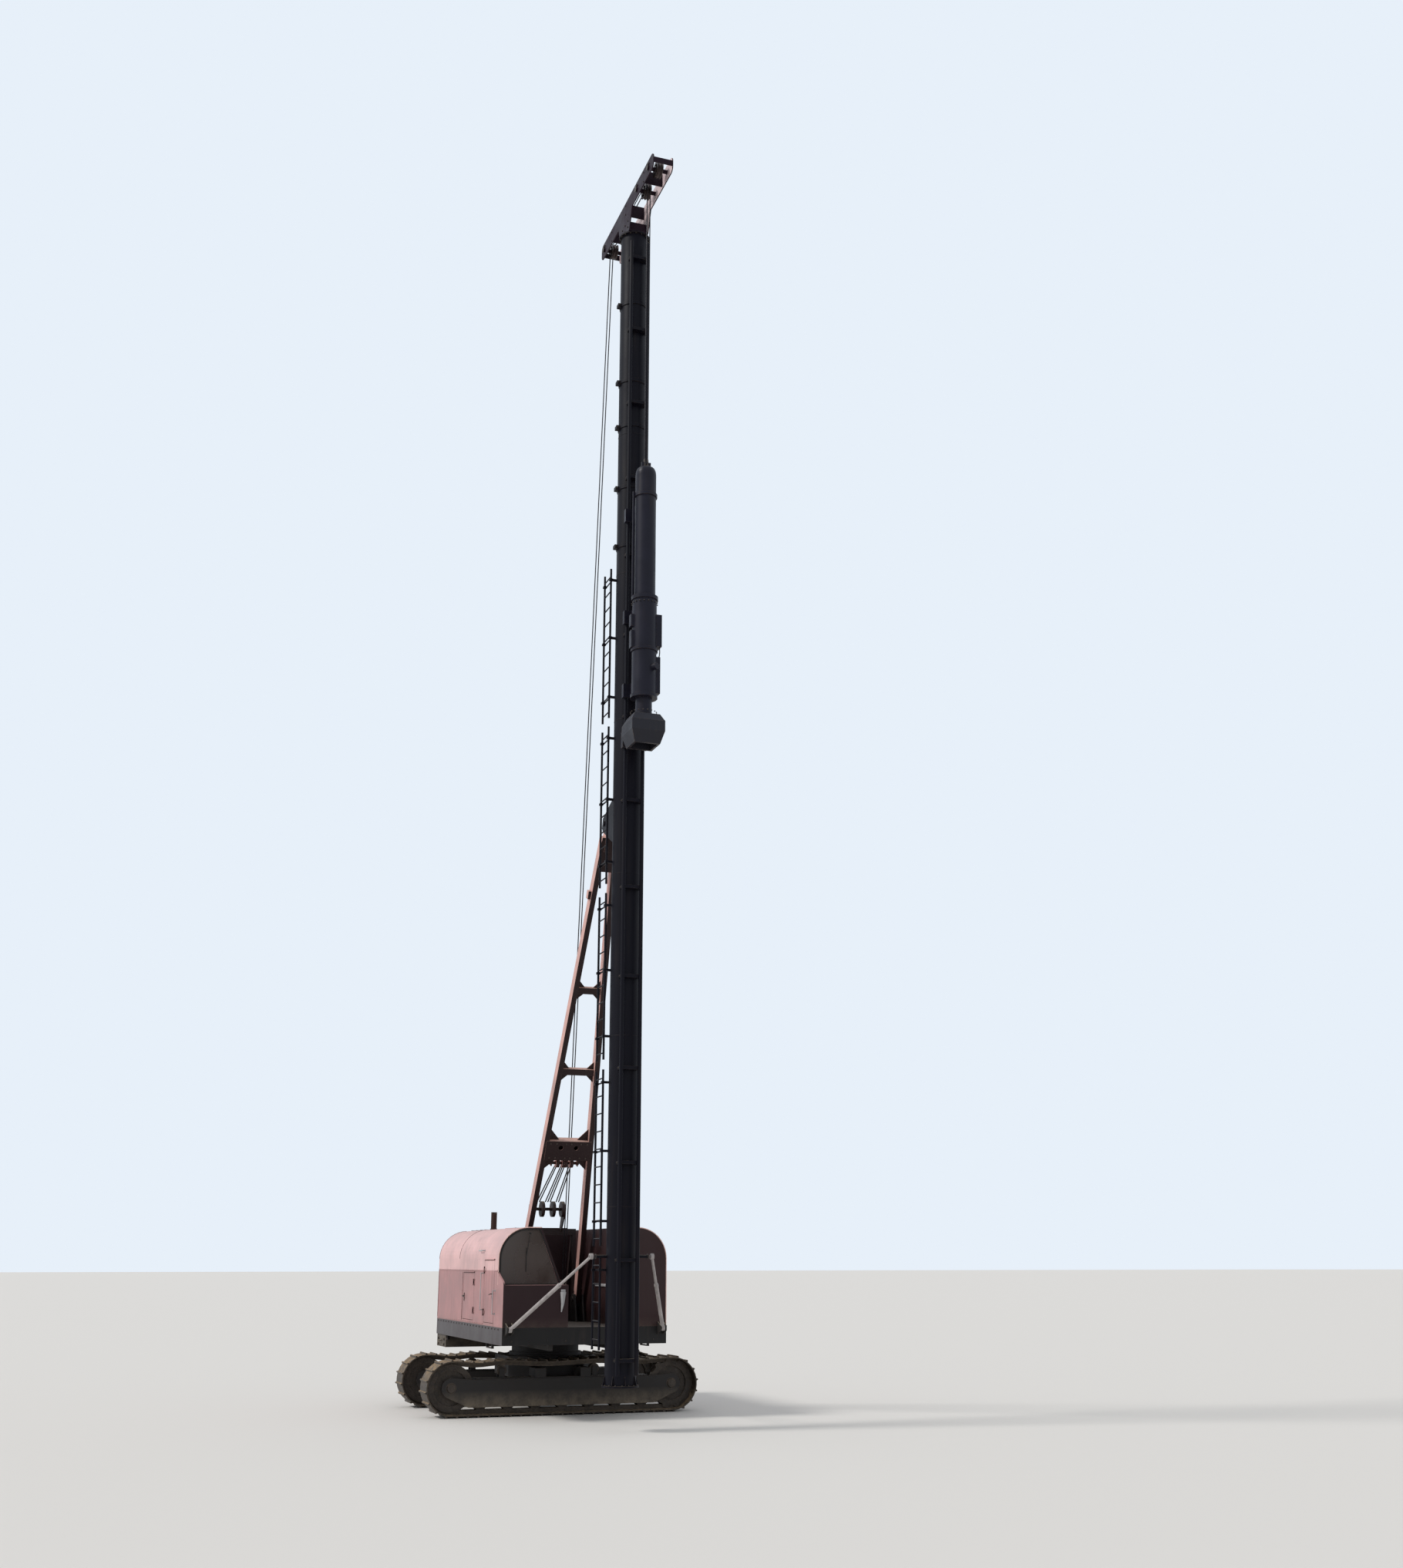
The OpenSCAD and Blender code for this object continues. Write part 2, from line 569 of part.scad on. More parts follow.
// Windscreen: follows the cab's front outline, one rim width inside it.
module window_hole(x, l, play) {
    rim = 40 + play;
    translate([x, 0, 0]) rotate([90, 0, 90]) linear_extrude(l) intersection() {
        polygon(concat([for (p = side_line(rim)) [-p[0], p[1]]], [[cab_y - screen_lean - rim, roof_z - rim],
            [cab_y - rim, deck_z + sill_h - rim], [cab_y - rim, deck_z + seat]]));
        translate([-half_w, deck_z + sill_h + play]) square([2*half_w, house_h]);
    }
}
module cab_glass() {
    on_axis() color([0.35, 0.4, 0.42]) window_hole(screen_x - panel_t + 10, 8, seat);
}
seat_y = -half_w + 175;         // right edge of the seat
module operator_seat() {
    on_axis() color([0.15, 0.15, 0.16]) {
        translate([cab_rear + 230, seat_y + 20, deck_z + seat]) cube([400, 400, 420]);
        translate([cab_rear + 200, seat_y, deck_z + 420]) cube([470, 440, 110]);
        translate([cab_rear + 200, seat_y, deck_z + 520]) cube([110, 440, 520]);
    }
}
module door_leaf(s, x0, x1, z0, z1) {
    translate([x0 + door_gap, s > 0 ? half_w - panel_t : -half_w, z0 + door_gap])
        cube([x1 - x0 - 2*door_gap, panel_t, z1 - z0 - 2*door_gap]);
}
// Hinge with its pin upright outside the wall: knuckles on the wall, a barrel on the leaf.
hinge_off = 14;                 // pin's centre line outside the wall's face
hinge_r = 12;
barrel_h = 60;
module hinge_place(s, x, z) { translate([x, s*(half_w + hinge_off), z]) mirror([0, s > 0 ? 1 : 0, 0])
    children(); }
module wall_hinge(s, x, dir, z) {
    hinge_place(s, x, z) for (e = [-1, 1]) {
        translate([0, 0, e*(barrel_h/2 + 16) - 15]) cylinder(r = hinge_r, h = 30);
        translate([dir > 0 ? -60 : 0, hinge_off - 8, e*(barrel_h/2 + 16) - 15]) cube([60, 9, 30]);
        translate([0, 0, -barrel_h/2 - 20]) cylinder(r = 8, h = barrel_h + 40);
    }
}
module leaf_hinge(s, x, dir, z) {
    hinge_place(s, x, z) difference() {
        union() {
            translate([0, 0, -barrel_h/2]) cylinder(r = hinge_r, h = barrel_h);
            translate([dir > 0 ? 0 : -70, hinge_off - 8, -barrel_h/2]) cube([70, 9, barrel_h]);
        }
        translate([0, 0, -barrel_h]) cylinder(r = 8 + running, h = 2*barrel_h);
    }
}
module door_hinges(z0, z1) { for (z = [z0 + 180, z1 - 180]) translate([0, 0, z]) children(); }
module cab_door() {
    on_axis() color([0.85, 0.55, 0.52]) {
        door_leaf(-1, cab_door_x[0], cab_door_x[1], cab_door_z[0], cab_door_z[1]);
        door_hinges(cab_door_z[0], cab_door_z[1]) leaf_hinge(-1, cab_door_x[0] + door_gap, 1, 0);
    }
}
module side_door_right() {
    on_axis() color([0.85, 0.55, 0.52]) {
        door_leaf(-1, door_x0, door_x1, door_z0, door_z1);
        door_hinges(door_z0, door_z1) leaf_hinge(-1, door_x1 - door_gap, -1, 0);
    }
}
module side_door_left() {
    slot_l = 560;
    on_axis() color([0.85, 0.55, 0.52]) {
        difference() {
            door_leaf(1, left_door_x[0], left_door_x[1], door_z0, door_z1);
            for (z = [door_z0 + 330:louvre_gap:door_z1 - 180])
                translate([(left_door_x[0] + left_door_x[1])/2, half_w, z])
                rotate([-35, 0, 0]) cube([slot_l, 4*panel_t, louvre_gap/2 - 6], center = true);
        }
        door_hinges(door_z0, door_z1) leaf_hinge(1, left_door_x[1] - door_gap, -1, 0);
    }
}

shaft_r = 60;
brake_w = 110;                  // brake rim at a drum's outer end
// Winch drum between y0, its inner end, and y1, its outer end with the brake rim.
module drum(y0, y1) {
    out = y1 > y0 ? 1 : -1;
    w = abs(y1 - y0);
    translate([drum_x, y0, deck_z + drum_z]) rotate([-90*out, 0, 0])
        rotate_extrude() polygon([[shaft_r + running, 0], [flange_r, 0], [flange_r, 22], [drum_r, 26],
            [drum_r, w - brake_w - 26], [flange_r, w - brake_w - 22], [flange_r, w], [flange_r - 30, w],
            [flange_r - 30, w - brake_w + 20], [shaft_r + 45, w - brake_w + 20], [shaft_r + 45, w],
                [shaft_r + running, w]]);
}
module drum_right() { on_axis() color([0.3, 0.28, 0.27]) drum(-20, -470); }
module drum_left() { on_axis() color([0.3, 0.28, 0.27]) drum(20, 470); }
module winch_frame() {
    side_t = 40;
    frame_y = 500;
    on_axis() color([0.25, 0.22, 0.22]) {
        for (s = [-1, 1]) translate([drum_x, s*frame_y + side_t/2, deck_z + seat]) rotate([90, 0, 0])
            linear_extrude(side_t)
            polygon(concat([[270, 0]], arc(0, drum_z, 130, 20, 160, 8), [[-270, 0]]));
        translate([drum_x, -frame_y, deck_z + drum_z]) rotate([-90, 0, 0]) cylinder(r = shaft_r,
            h = 2*frame_y);
    }
}
rope_y = [-220, -170, -50, 0, 50, 170, 220];    // rope falls, which lie between the gantry's sheaves
gantry_sheave = [gantry_x + 250, gantry_z];
gantry_sheave_r = 150;
gantry_bar = gantry_z - 490;    // underside of the bar across the gantry's legs
gantry_y = 610;                 // side of the gantry where its legs stand
module gantry() {
    front_leg = -165;           // foot of the gantry's front legs
    on_axis() color([0.35, 0.14, 0.13]) {
        for (s = [-1, 1]) {
            long_bar(bay_rear + 100, deck_z + seat, gantry_x - 20, gantry_bar + 60, 90, s*gantry_y, 70);
            long_bar(front_leg, deck_z + seat, gantry_x + 20, gantry_bar + 60, 90, s*gantry_y, 70);
        }
        translate([gantry_x - 70, -gantry_y - 35, gantry_bar]) cube([140, 2*gantry_y + 70, 120]);
        for (y = [-300, -110, 110, 300]) translate([gantry_sheave[0], y - 30, gantry_sheave[1]])
            rotate([-90, 0, 0])
            cylinder(r = gantry_sheave_r, h = 60);
        for (s = [-1, 1]) translate([0, s*340 + 12, 0]) rotate([90, 0, 0]) linear_extrude(24)
            polygon([[gantry_x - 60, gantry_bar + 40], [gantry_x + 60, gantry_bar + 40],
                [gantry_sheave[0] + 90, gantry_z - 90],
                [gantry_sheave[0] + 90, gantry_z + 90], [gantry_sheave[0] - 90, gantry_z + 90]]);
        translate([gantry_sheave[0], -345, gantry_sheave[1]]) rotate([-90, 0, 0]) cylinder(r = 30, h = 690);
    }
}
module exhaust() {
    stack_h = 380;
    on_axis() color([0.25, 0.22, 0.2]) translate([exhaust_at[0], exhaust_at[1], roof_z - panel_t])
        difference() {
        cylinder(r = exhaust_r, h = stack_h + panel_t);
        translate([0, 0, stack_h - 200]) cylinder(r = exhaust_r - 6, h = 300);
        translate([0, 0, stack_h + panel_t]) rotate([0, 30, 0]) translate([-200, -100, 0]) cube([400,
            200, 100]);
    }
}

// Boom: drawn upright from its foot pin, then tilted to its place.
boom_cross = [4600, 6200];      // places of the plain cross members along the boom
boom_sheave_r = 90;             // sheaves under the big cross beam
rope_narrow = 0.7;              // the rope falls run closer together at the boom
beam_at = 3050;                 // place of the big cross beam along the boom
beam_h2 = 380;                  // depth of that beam along the boom
boom_sheave = [-60, beam_at - beam_h2/2 - boom_sheave_r - 20];
head_l = 420;                   // length of the boxed head between the legs
function leg_y(t) = foot_w/2*(1 - t/boom_len) + 95*(t/boom_len);
module in_boom() { translate([foot_x, 0, foot_z]) rotate([0, boom_tilt, 0]) children(); }
// A pair of corner plates between the legs and a cross member at t, above it (e = 1) or below.
module gusset(t, half_h, e, size) {
    for (s = [-1, 1]) {
        y = leg_y(t) - leg_w/2;
        y2 = leg_y(t + e*(half_h + size)) - leg_w/2;
        translate([-7, 0, 0]) rotate([90, 0, 90]) linear_extrude(14)
            polygon([[s*(y + 8), t + e*(half_h - 5)], [s*(y - size), t + e*(half_h - 5)], [s*(y2 + 8),
                t + e*(half_h + size)]]);
    }
}
module boom() {
    on_axis() color([0.82, 0.5, 0.47]) in_boom() {
        for (s = [-1, 1]) {
            difference() {
                cross_bar(s*leg_y(130), 130, s*leg_y(boom_len - 250), boom_len - 250, leg_w, leg_d);
                cross_bar(s*leg_y(250), 250, s*leg_y(boom_len - 1000), boom_len - 1000, leg_w - 2*leg_t,
                    leg_d - 2*leg_t);
            }
            translate([0, s*leg_y(0) - leg_w/2, 0]) rotate([-90, 0, 0]) difference() {
                union() {
                    cylinder(r = 85, h = leg_w);
                    translate([-85, -250, 0]) cube([170, 250, leg_w]);
                }
                translate([0, 0, -1]) cylinder(r = 45 + running, h = leg_w + 2);
            }
        }
        for (t = boom_cross) {
            translate([-60, -leg_y(t), t - 60]) cube([120, 2*leg_y(t), 120]);
            for (e = [-1, 1]) gusset(t, 60, e, 150);
        }
        for (e = [-1, 1]) gusset(beam_at, beam_h2/2, e, 230);
        difference() {
            translate([-110, -leg_y(beam_at), beam_at - beam_h2/2]) cube([220, 2*leg_y(beam_at), beam_h2]);
            translate([-110 + leg_t, -leg_y(beam_at) + leg_w, beam_at - beam_h2/2 + leg_t])
                cube([220 - 2*leg_t, 2*leg_y(beam_at) - 2*leg_w, beam_h2 - 2*leg_t]);
            for (s = [-1, 1]) translate([-200, s*150, beam_at + 60]) rotate([0, 90, 0]) cylinder(r = 45,
                h = 400);
        }
        for (y = rope_y) translate([boom_sheave[0], y*rope_narrow - 15, boom_sheave[1]]) rotate([-90, 0, 0])
            cylinder(r = boom_sheave_r, h = 30);
        translate([boom_sheave[0], -270, boom_sheave[1]]) rotate([-90, 0, 0]) cylinder(r = 30, h = 540);
        for (s = [-1, 1]) translate([boom_sheave[0] - 50, s*260 - 12, boom_sheave[1] - 50])
            cube([100, 24, beam_at - beam_h2/2 - boom_sheave[1] + 60]);
        translate([-leg_d/2, -leg_y(boom_len - 900), boom_len - 900]) cube([leg_d,
            2*leg_y(boom_len - 900), head_l]);
        rotate([-90, 0, 0]) translate([0, -boom_len, -95]) difference() {
            union() {
                cylinder(r = 130, h = 190);
                translate([-110, 0, 0]) cube([220, 520, 190]);
            }
            translate([0, 0, -1]) cylinder(r = 50 + running, h = 192);
        }
    }
}
// Rope falls of the boom hoist: they ride with the boom, and their lower ends lie
// between the gantry's sheaves.
module boom_ropes() {
    top = [foot_x + sin(boom_tilt)*boom_sheave[1] + cos(boom_tilt)*boom_sheave[0],
        foot_z + cos(boom_tilt)*boom_sheave[1] - sin(boom_tilt)*boom_sheave[0]];
    on_axis() color([0.25, 0.24, 0.24]) for (y = rope_y) {
        p = [top[0], y*rope_narrow, top[1]];
        q = [gantry_sheave[0] + 20, y, gantry_z + gantry_sheave_r - 8];
        rod(p + (q - p)*(boom_sheave_r + 2*seat)/norm(q - p), q, 12);
    }
}

// Struts from the deck's front corners to the leader's foot.
strut_eye = 60;                 // width of a strut's lower eye
strut_pin = 470;                // reach of the leader's cross pin to either side
strut_in = [deck_front + 130, half_w - 110, deck_z - 30];
rod_eye = 60;                   // width of the eye at a strut's upper end
eye_gap = 40;                   // that eye stands this far off its pin, where the linkage is opened
strut_pin_r = 25;
strut_out = [mast_x, strut_pin + eye_gap + rod_eye/2, 2790];
strut_l = norm(strut_out - strut_in);
tube_r = 34;
inner_r = 24;
lower_eye_r = 48;
function strut_at(t) = strut_in + (strut_out - strut_in)*t/strut_l;
function flip(p, s) = [p[0], s*p[1], p[2]];
module strut_tube(s) {
    on_axis() color([0.7, 0.7, 0.7]) difference() {
        union() {
            rod(flip(strut_at(0), s), flip(strut_at(0.62*strut_l), s), tube_r);
            translate([strut_in[0], s*strut_in[1] - strut_eye/2, strut_in[2]]) rotate([-90, 0, 0])
                cylinder(r = lower_eye_r, h = strut_eye);
        }
        rod(flip(strut_at(200), s), flip(strut_at(0.7*strut_l), s), inner_r);
        for (e = [-1, 1]) translate([strut_in[0] - 100, s*strut_in[1] + e*(strut_eye/2 + 50) - 50,
            strut_in[2] - 100]) cube([200, 100, 170]);
        translate([strut_in[0], s*strut_in[1] - strut_eye, strut_in[2]]) rotate([-90, 0, 0])
            cylinder(r = strut_pin_r + running, h = 2*strut_eye);
    }
}
module strut_rod(s) {
    on_axis() color([0.75, 0.75, 0.75]) {
        rod(flip(strut_at(700), s), flip(strut_at(strut_l - 1.6*strut_pin_r), s), inner_r - running);
        translate([strut_out[0], s*strut_out[1] - rod_eye/2, strut_out[2]]) rotate([-90, 0, 0])
            difference() {
            cylinder(r = 2*strut_pin_r, h = rod_eye);
            translate([0, 0, -1]) cylinder(r = strut_pin_r + running, h = rod_eye + 2);
        }
    }
}
module strut_tube_right() { strut_tube(-1); }
module strut_tube_left() { strut_tube(1); }
module strut_rod_right() { strut_rod(-1); }
module strut_rod_left() { strut_rod(1); }

band_drop = [6820, 5610, 4310, 3340, 1630];     // bands round the tube, below its top
band_h = 70;
band_t = 14;
flange_out = 45;                // how far the end flanges stand out of the tube
flange_t = 30;
module band() {
    cylinder(r = mast_d/2 + band_t, h = band_h);
    translate([-60, -mast_d/2 - band_t - 55, 0]) cube([120, 75, band_h]);
}
module foot_ribs() {
    rib_n = 8;
    for (i = [0:rib_n - 1]) rotate([0, 0, 360*i/rib_n]) translate([mast_d/2 - 2, 7, 0]) rotate([90, 0, 0])
        linear_extrude(14) polygon([[0, 0], [flange_out, 0], [flange_out, 20], [10, 150], [0, 150]]);
}
module mast() {
    cheek_y = 95 + move_gap;
    on_axis() color([0.1, 0.1, 0.14]) {
        difference() {
            union() {
                translate([mast_x, 0, mast_foot]) cylinder(r = mast_d/2, h = mast_top - mast_foot - seat);
                for (z = [mast_foot, mast_top - flange_t]) translate([mast_x, 0, z])
                    cylinder(r = mast_d/2 + flange_out, h = flange_t - seat);
                translate([mast_x, 0, mast_foot + flange_t - 2]) foot_ribs();
                for (d = band_drop) translate([mast_x, 0, mast_top - d]) band();
                for (s = [-1, 1]) translate([0, s*(cheek_y + 15) + 15, 0]) rotate([90, 0, 0])
                    linear_extrude(30)
                    polygon([[mast_x - 60, head_z - 700], [mast_x - 60, head_z + 500], [head_pin_x - 90,
                        head_z + 120],
                        [head_pin_x - 140, head_z - 60], [head_pin_x - 60, head_z - 150]]);
                translate([head_pin_x, -cheek_y - 50, head_z]) rotate([-90, 0, 0]) cylinder(r = 50,
                    h = 2*cheek_y + 100);
                translate([mast_x, -strut_pin, strut_out[2]]) rotate([-90, 0, 0])
                    cylinder(r = strut_pin_r, h = 2*strut_pin);
            }
            translate([mast_x, 0, mast_foot - 1]) cylinder(r = mast_d/2 - mast_t,
                h = mast_top - mast_foot + 2);
        }
    }
}
module off_tube() {
    difference() {
        children();
        translate([mast_x, 0, 0]) cylinder(r = mast_d/2 + seat, h = mast_top + 100);
    }
}
bracket_h = 60;
bracket_step = 1600;
bracket_in = 400;               // first and last bracket from the tube's ends
rail_foot = 200;                // the rails' ends from the tube's
rail_head = 300;
module guide_rails() {
    on_axis() color([0.12, 0.12, 0.16]) {
        for (s = [-1, 1]) translate([rail_x, s*rail_w/2, mast_foot + rail_foot])
            cylinder(r = rail_r, h = mast_top - mast_foot - rail_foot - rail_head);
        off_tube() for (z = [mast_foot + bracket_in:bracket_step:mast_top - bracket_in]) difference() {
            translate([mast_x + 150, -rail_w/2 - rail_r/2, z]) cube([rail_x - mast_x - 150,
                rail_w + rail_r, bracket_h]);
            for (s = [-1, 1]) translate([rail_x, s*rail_w/2, z - 1]) cylinder(r = rail_r + seat,
                h = bracket_h + 2);
        }
    }
}
// Ladder: sections one above the other, each on stays that clasp its stiles. The lowest is cut short.
ladder_top = 15350;
ladder_foot = 1280;
section_l = 2970;
section_step = 3140;
section_n = 5;
stay_drop = [240, 1410, 2580];  // places of the stays below a section's top
stile_back = 480;               // the rear stile behind the tube's axis
ladder_w = 400;                 // between the stiles' axes
module ladder_section(z0, z1) {
    ladder_y = -(mast_d/2 + 90);
    stile_x = [mast_x - stile_back, mast_x - stile_back + ladder_w];
    rung_gap = 300;
    clasp = 64;                 // outside width of the clasp round a stile
    for (x = stile_x) translate([x, ladder_y, z0]) cylinder(r = 20, h = z1 - z0);
    for (z = [z1 - 150:-rung_gap:z0 + 60]) translate([stile_x[0], ladder_y, z]) rotate([0, 90, 0])
        cylinder(r = 12, h = stile_x[1] - stile_x[0]);
    for (d = stay_drop) let(z = z1 - d) if (z > z0 + 100) {
        for (x = stile_x) translate([x - clasp/2, ladder_y - clasp/2, z]) cube([clasp, clasp, 40]);
        translate([stile_x[0], ladder_y + 20, z + 8]) cube([stile_x[1] - stile_x[0], 14, 24]);
        translate([mast_x - 100, ladder_y - 20, z]) cube([40, 200, 40]);
    }
}
module ladder() {
    on_axis() color([0.12, 0.12, 0.15]) off_tube() for (i = [0:section_n - 1]) {
        z1 = ladder_top - i*section_step;
        ladder_section(max(ladder_foot, z1 - section_l), z1);
    }
}
// Head: two long side plates with rounded ends, whose neck stands on the leader's top flange.
head_t = 20;                    // thickness of the side plates
end_round = 110;                // radius of the side plates' corners
neck_foot = 560;                // length of the neck at the leader's top
neck_top = 900;                 // length of the neck under the side plates
head_tie = [-930, 30, 1180];    // places of the cross plates, ahead of the leader's centre line
shaft_r2 = 40;                  // radius of a head sheave's shaft
sheave_w = 120;
sheave_z = head_bottom + head_d/2;
sheave_places = [mast_x + head_front - 310, mast_x + hammer_x - sheave_r + 12, mast_x - head_back + 190];
function corner(cx, cz, a0) = arc(cx, cz, end_round, a0, a0 + 90, 5);
module head_plate() {
    x0 = mast_x - head_back;
    x1 = mast_x + head_front;
    z1 = head_bottom + head_d;
    polygon(concat(corner(x1 - end_round, z1 - end_round, 0), corner(x0 + end_round, z1 - end_round, 90),
        corner(x0 + end_round, head_bottom + end_round, 180),
        [[mast_x - neck_top/2, head_bottom], [mast_x - neck_foot/2, mast_top],
        [mast_x + neck_foot/2, mast_top], [mast_x + neck_top/2, head_bottom]],
        corner(x1 - end_round, head_bottom + end_round, 270)));
}
module head_frame() {
    inner_w = head_w - 2*head_t;
    on_axis() color([0.16, 0.1, 0.14]) {
        for (s = [-1, 1]) translate([0, s*(head_w - head_t)/2 + head_t/2, 0]) rotate([90, 0, 0])
            linear_extrude(head_t) head_plate();
        for (x = [mast_x - head_back, mast_x + head_front - head_t]) translate([x, -inner_w/2 - 1,
            head_bottom + end_round])
            cube([head_t, inner_w + 2, head_d - 2*end_round]);
        for (x = head_tie) translate([mast_x + x, -inner_w/2 - 1, head_bottom + 30]) cube([head_t,
            inner_w + 2, head_d - 60]);
        translate([mast_x - neck_foot/2, -head_w/2, mast_top]) cube([neck_foot, head_w, flange_t]);
        for (x = [-neck_foot/2 + 40, neck_foot/2 - 60]) translate([mast_x + x, -inner_w/2 - 1, mast_top])
            cube([head_t, inner_w + 2, neck_h/2]);
        for (x = sheave_places) translate([x, -head_w/2 - 25, sheave_z]) rotate([-90, 0, 0])
            cylinder(r = shaft_r2, h = head_w + 50);
    }
}
// Sheave with two rope grooves, a thin web and a hub on each side.
module sheave(x) {
    groove = 26;
    web = 14;
    bore = shaft_r2 + running;
    hub_r = shaft_r2 + 32;
    rim_in = sheave_r - 48;
    half = sheave_w/2;
    side = [[hub_r, -half - 12], [hub_r, -web], [rim_in, -web], [rim_in, -half], [sheave_r, -half],
        [sheave_r - groove, -half/2],
        [sheave_r, 0]];
    far = [for (i = [len(side) - 2:-1:0]) [side[i][0], -side[i][1]]];
    translate([x, 0, sheave_z]) rotate([-90, 0, 0]) rotate_extrude()
        polygon(concat([[bore, -half - 12]], side, far, [[bore, half + 12]]));
}
module sheave_front() { on_axis() color([0.2, 0.16, 0.18]) sheave(sheave_places[0]); }
module sheave_middle() { on_axis() color([0.2, 0.16, 0.18]) sheave(sheave_places[1]); }
module sheave_rear() { on_axis() color([0.2, 0.16, 0.18]) sheave(sheave_places[2]); }

lower_l = 2300;                 // height of the lower cylinder's top over the hammer's end
strap_z = 4300;                 // height of the strap that holds the pipe's upper end
collar_t = 22;                  // how far the collars stand out of their cylinder
dome_l = 150;                   // height of the rounded top
module collar(r, z, h) { translate([0, 0, z]) cylinder(r = r + collar_t, h = h); }
module hammer() {
    dome = [for (a = [0:15:75]) [(upper_r - 60) + 60*cos(a), dome_l*sin(a)]];
    on_axis() color([0.1, 0.1, 0.13]) translate([hammer_cx, 0, hammer_z]) difference() {
        union() {
            cylinder(r = 150, h = 400);
            translate([0, 0, 340]) cylinder(r = lower_r, h = lower_l - 340);
            collar(lower_r, 340, 60);
            collar(lower_r, 1230, 50);
            collar(lower_r, lower_l - 70, 70);
            translate([0, 0, lower_l - 1]) cylinder(r = upper_r, h = hammer_l - lower_l - dome_l + 1);
            collar(upper_r, strap_z, 60);
            translate([0, 0, hammer_l - dome_l]) rotate_extrude() polygon(concat([[0, -5], [upper_r,
                -5]], dome, [[0, dome_l*sin(75)]]));
            translate([-20, -90, hammer_l - 60]) cube([40, 180, 190]);
        }
        translate([0, 0, lower_l + 600]) cylinder(r = upper_r - 30, h = hammer_l - lower_l - 850);
        translate([-30, 0, hammer_l + 75]) rotate([0, 90, 0]) cylinder(r = 28, h = 60);
    }
}
// Guide shoe: a web from a body round the hammer's centre line to jaws round the rails.
jaw_gap = 0.8;
module guide_shoe(z, h, body_r) {
    jaw_y = rail_w/2 + rail_r + jaw_gap;
    front_x = rail_x + rail_r + jaw_gap;
    difference() {
        union() {
            translate([front_x, -jaw_y - 40, z]) cube([40, 2*jaw_y + 80, h]);
            for (s = [-1, 1]) translate([rail_x - 30, s*(jaw_y + 20) - 20, z])
                cube([rail_r + jaw_gap + 31, 40, h]);
            translate([front_x + 39, -110, z]) cube([hammer_cx - front_x - 39, 220, h]);
        }
        translate([hammer_cx, 0, z - 1]) cylinder(r = body_r, h = h + 2);
    }
}
shoe_h = 260;                   // height of a guide shoe
// Fuel tank, pump and exhaust stubs round the lower cylinder, each a box or pipe bedded on its wall.
tank = [260, 70, 620];
pump = [190, 55, 700];
module bedded(s, z, size) {
    translate([-size[0]/2, s > 0 ? lower_r - 40 : -lower_r - size[1], z]) cube([size[0], size[1] + 40,
        size[2]]);
}
module hammer_fittings() {
    pipe_r = 20;
    pipe_y = -(upper_r + collar_t + pipe_r + seat);
    on_axis() color([0.13, 0.13, 0.16]) {
        for (z = [500, lower_l - 360]) guide_shoe(hammer_z + z, shoe_h, lower_r + seat);
        guide_shoe(hammer_z + strap_z - 300, shoe_h, upper_r + seat);
        translate([hammer_cx, 0, hammer_z]) {
            difference() {
                union() {
                    bedded(1, 1330, tank);
                    bedded(1, 440, pump);
                    bedded(-1, 1700, [120, 50, 230]);
                    bedded(-1, 1290, [130, 45, 330]);
                    for (s = [-1, 1]) rotate([0, 0, 90 + s*60]) translate([lower_r - 30, 0, 900])
                        rotate([0, 90, 0]) cylinder(r = 62, h = 120);
                }
                cylinder(r = lower_r + seat, h = hammer_l);
            }
            translate([0, pipe_y, lower_l + seat]) cylinder(r = pipe_r, h = strap_z + 90 - lower_l);
        }
    }
}
pocket_w = 400;                 // side of the pocket for the pile's head
pocket_h = 200;
cap_base = hammer_z - cap_h - seat;
cap_lip = 480;                  // width of the cap round the pocket's mouth
cap_crown = 470;                // width of the cap's top
cap_belt = [230, 420];          // heights between which the cap has its full width
// Outline of the cap from one side, drawn out across its width.
module cap_outline() {
    half = cap_w/2;
    rotate([90, 0, 0]) linear_extrude(cap_w + 2, center = true) polygon([[-cap_lip/2, 0], [cap_lip/2, 0],
        [half, cap_belt[0]], [half, cap_belt[1]], [cap_crown/2, cap_h], [-cap_crown/2, cap_h],
        [-half, cap_belt[1]], [-half, cap_belt[0]]]);
}
module drive_cap() {
    on_axis() color([0.12, 0.12, 0.14]) translate([hammer_cx, 0, cap_base]) difference() {
        intersection() {
            cap_outline();
            rotate([0, 0, 90]) cap_outline();
        }
        translate([-pocket_w/2, -pocket_w/2, -1]) cube([pocket_w, pocket_w, pocket_h + 1]);
    }
}
// Guide shoe of the drive cap, seated on the cap's face towards the leader.
module cap_guide() {
    on_axis() color([0.12, 0.12, 0.14]) difference() {
        guide_shoe(cap_base + 100, 300, 10);
        translate([hammer_cx - cap_w/2 - seat, -cap_w, cap_base]) cube([2*cap_w, 2*cap_w, cap_h]);
    }
}

car_body();
slew_ring();
track_frame_front();
track_frame_rear();
track_front();
track_rear();
track_wheels_front();
track_wheels_rear();
deck();
deck_frame();
boom_forks();
strut_forks();
counterweight();
engine();
house_right();
house_left();
house_roof();
house_rear();
left_wing();
cab();
cab_glass();
operator_seat();
cab_door();
side_door_right();
side_door_left();
drum_right();
drum_left();
winch_frame();
gantry();
exhaust();
boom();
boom_ropes();
strut_tube_right();
strut_tube_left();
strut_rod_right();
strut_rod_left();
mast();
guide_rails();
ladder();
head_frame();
sheave_front();
sheave_middle();
sheave_rear();
hammer();
hammer_fittings();
drive_cap();
cap_guide();
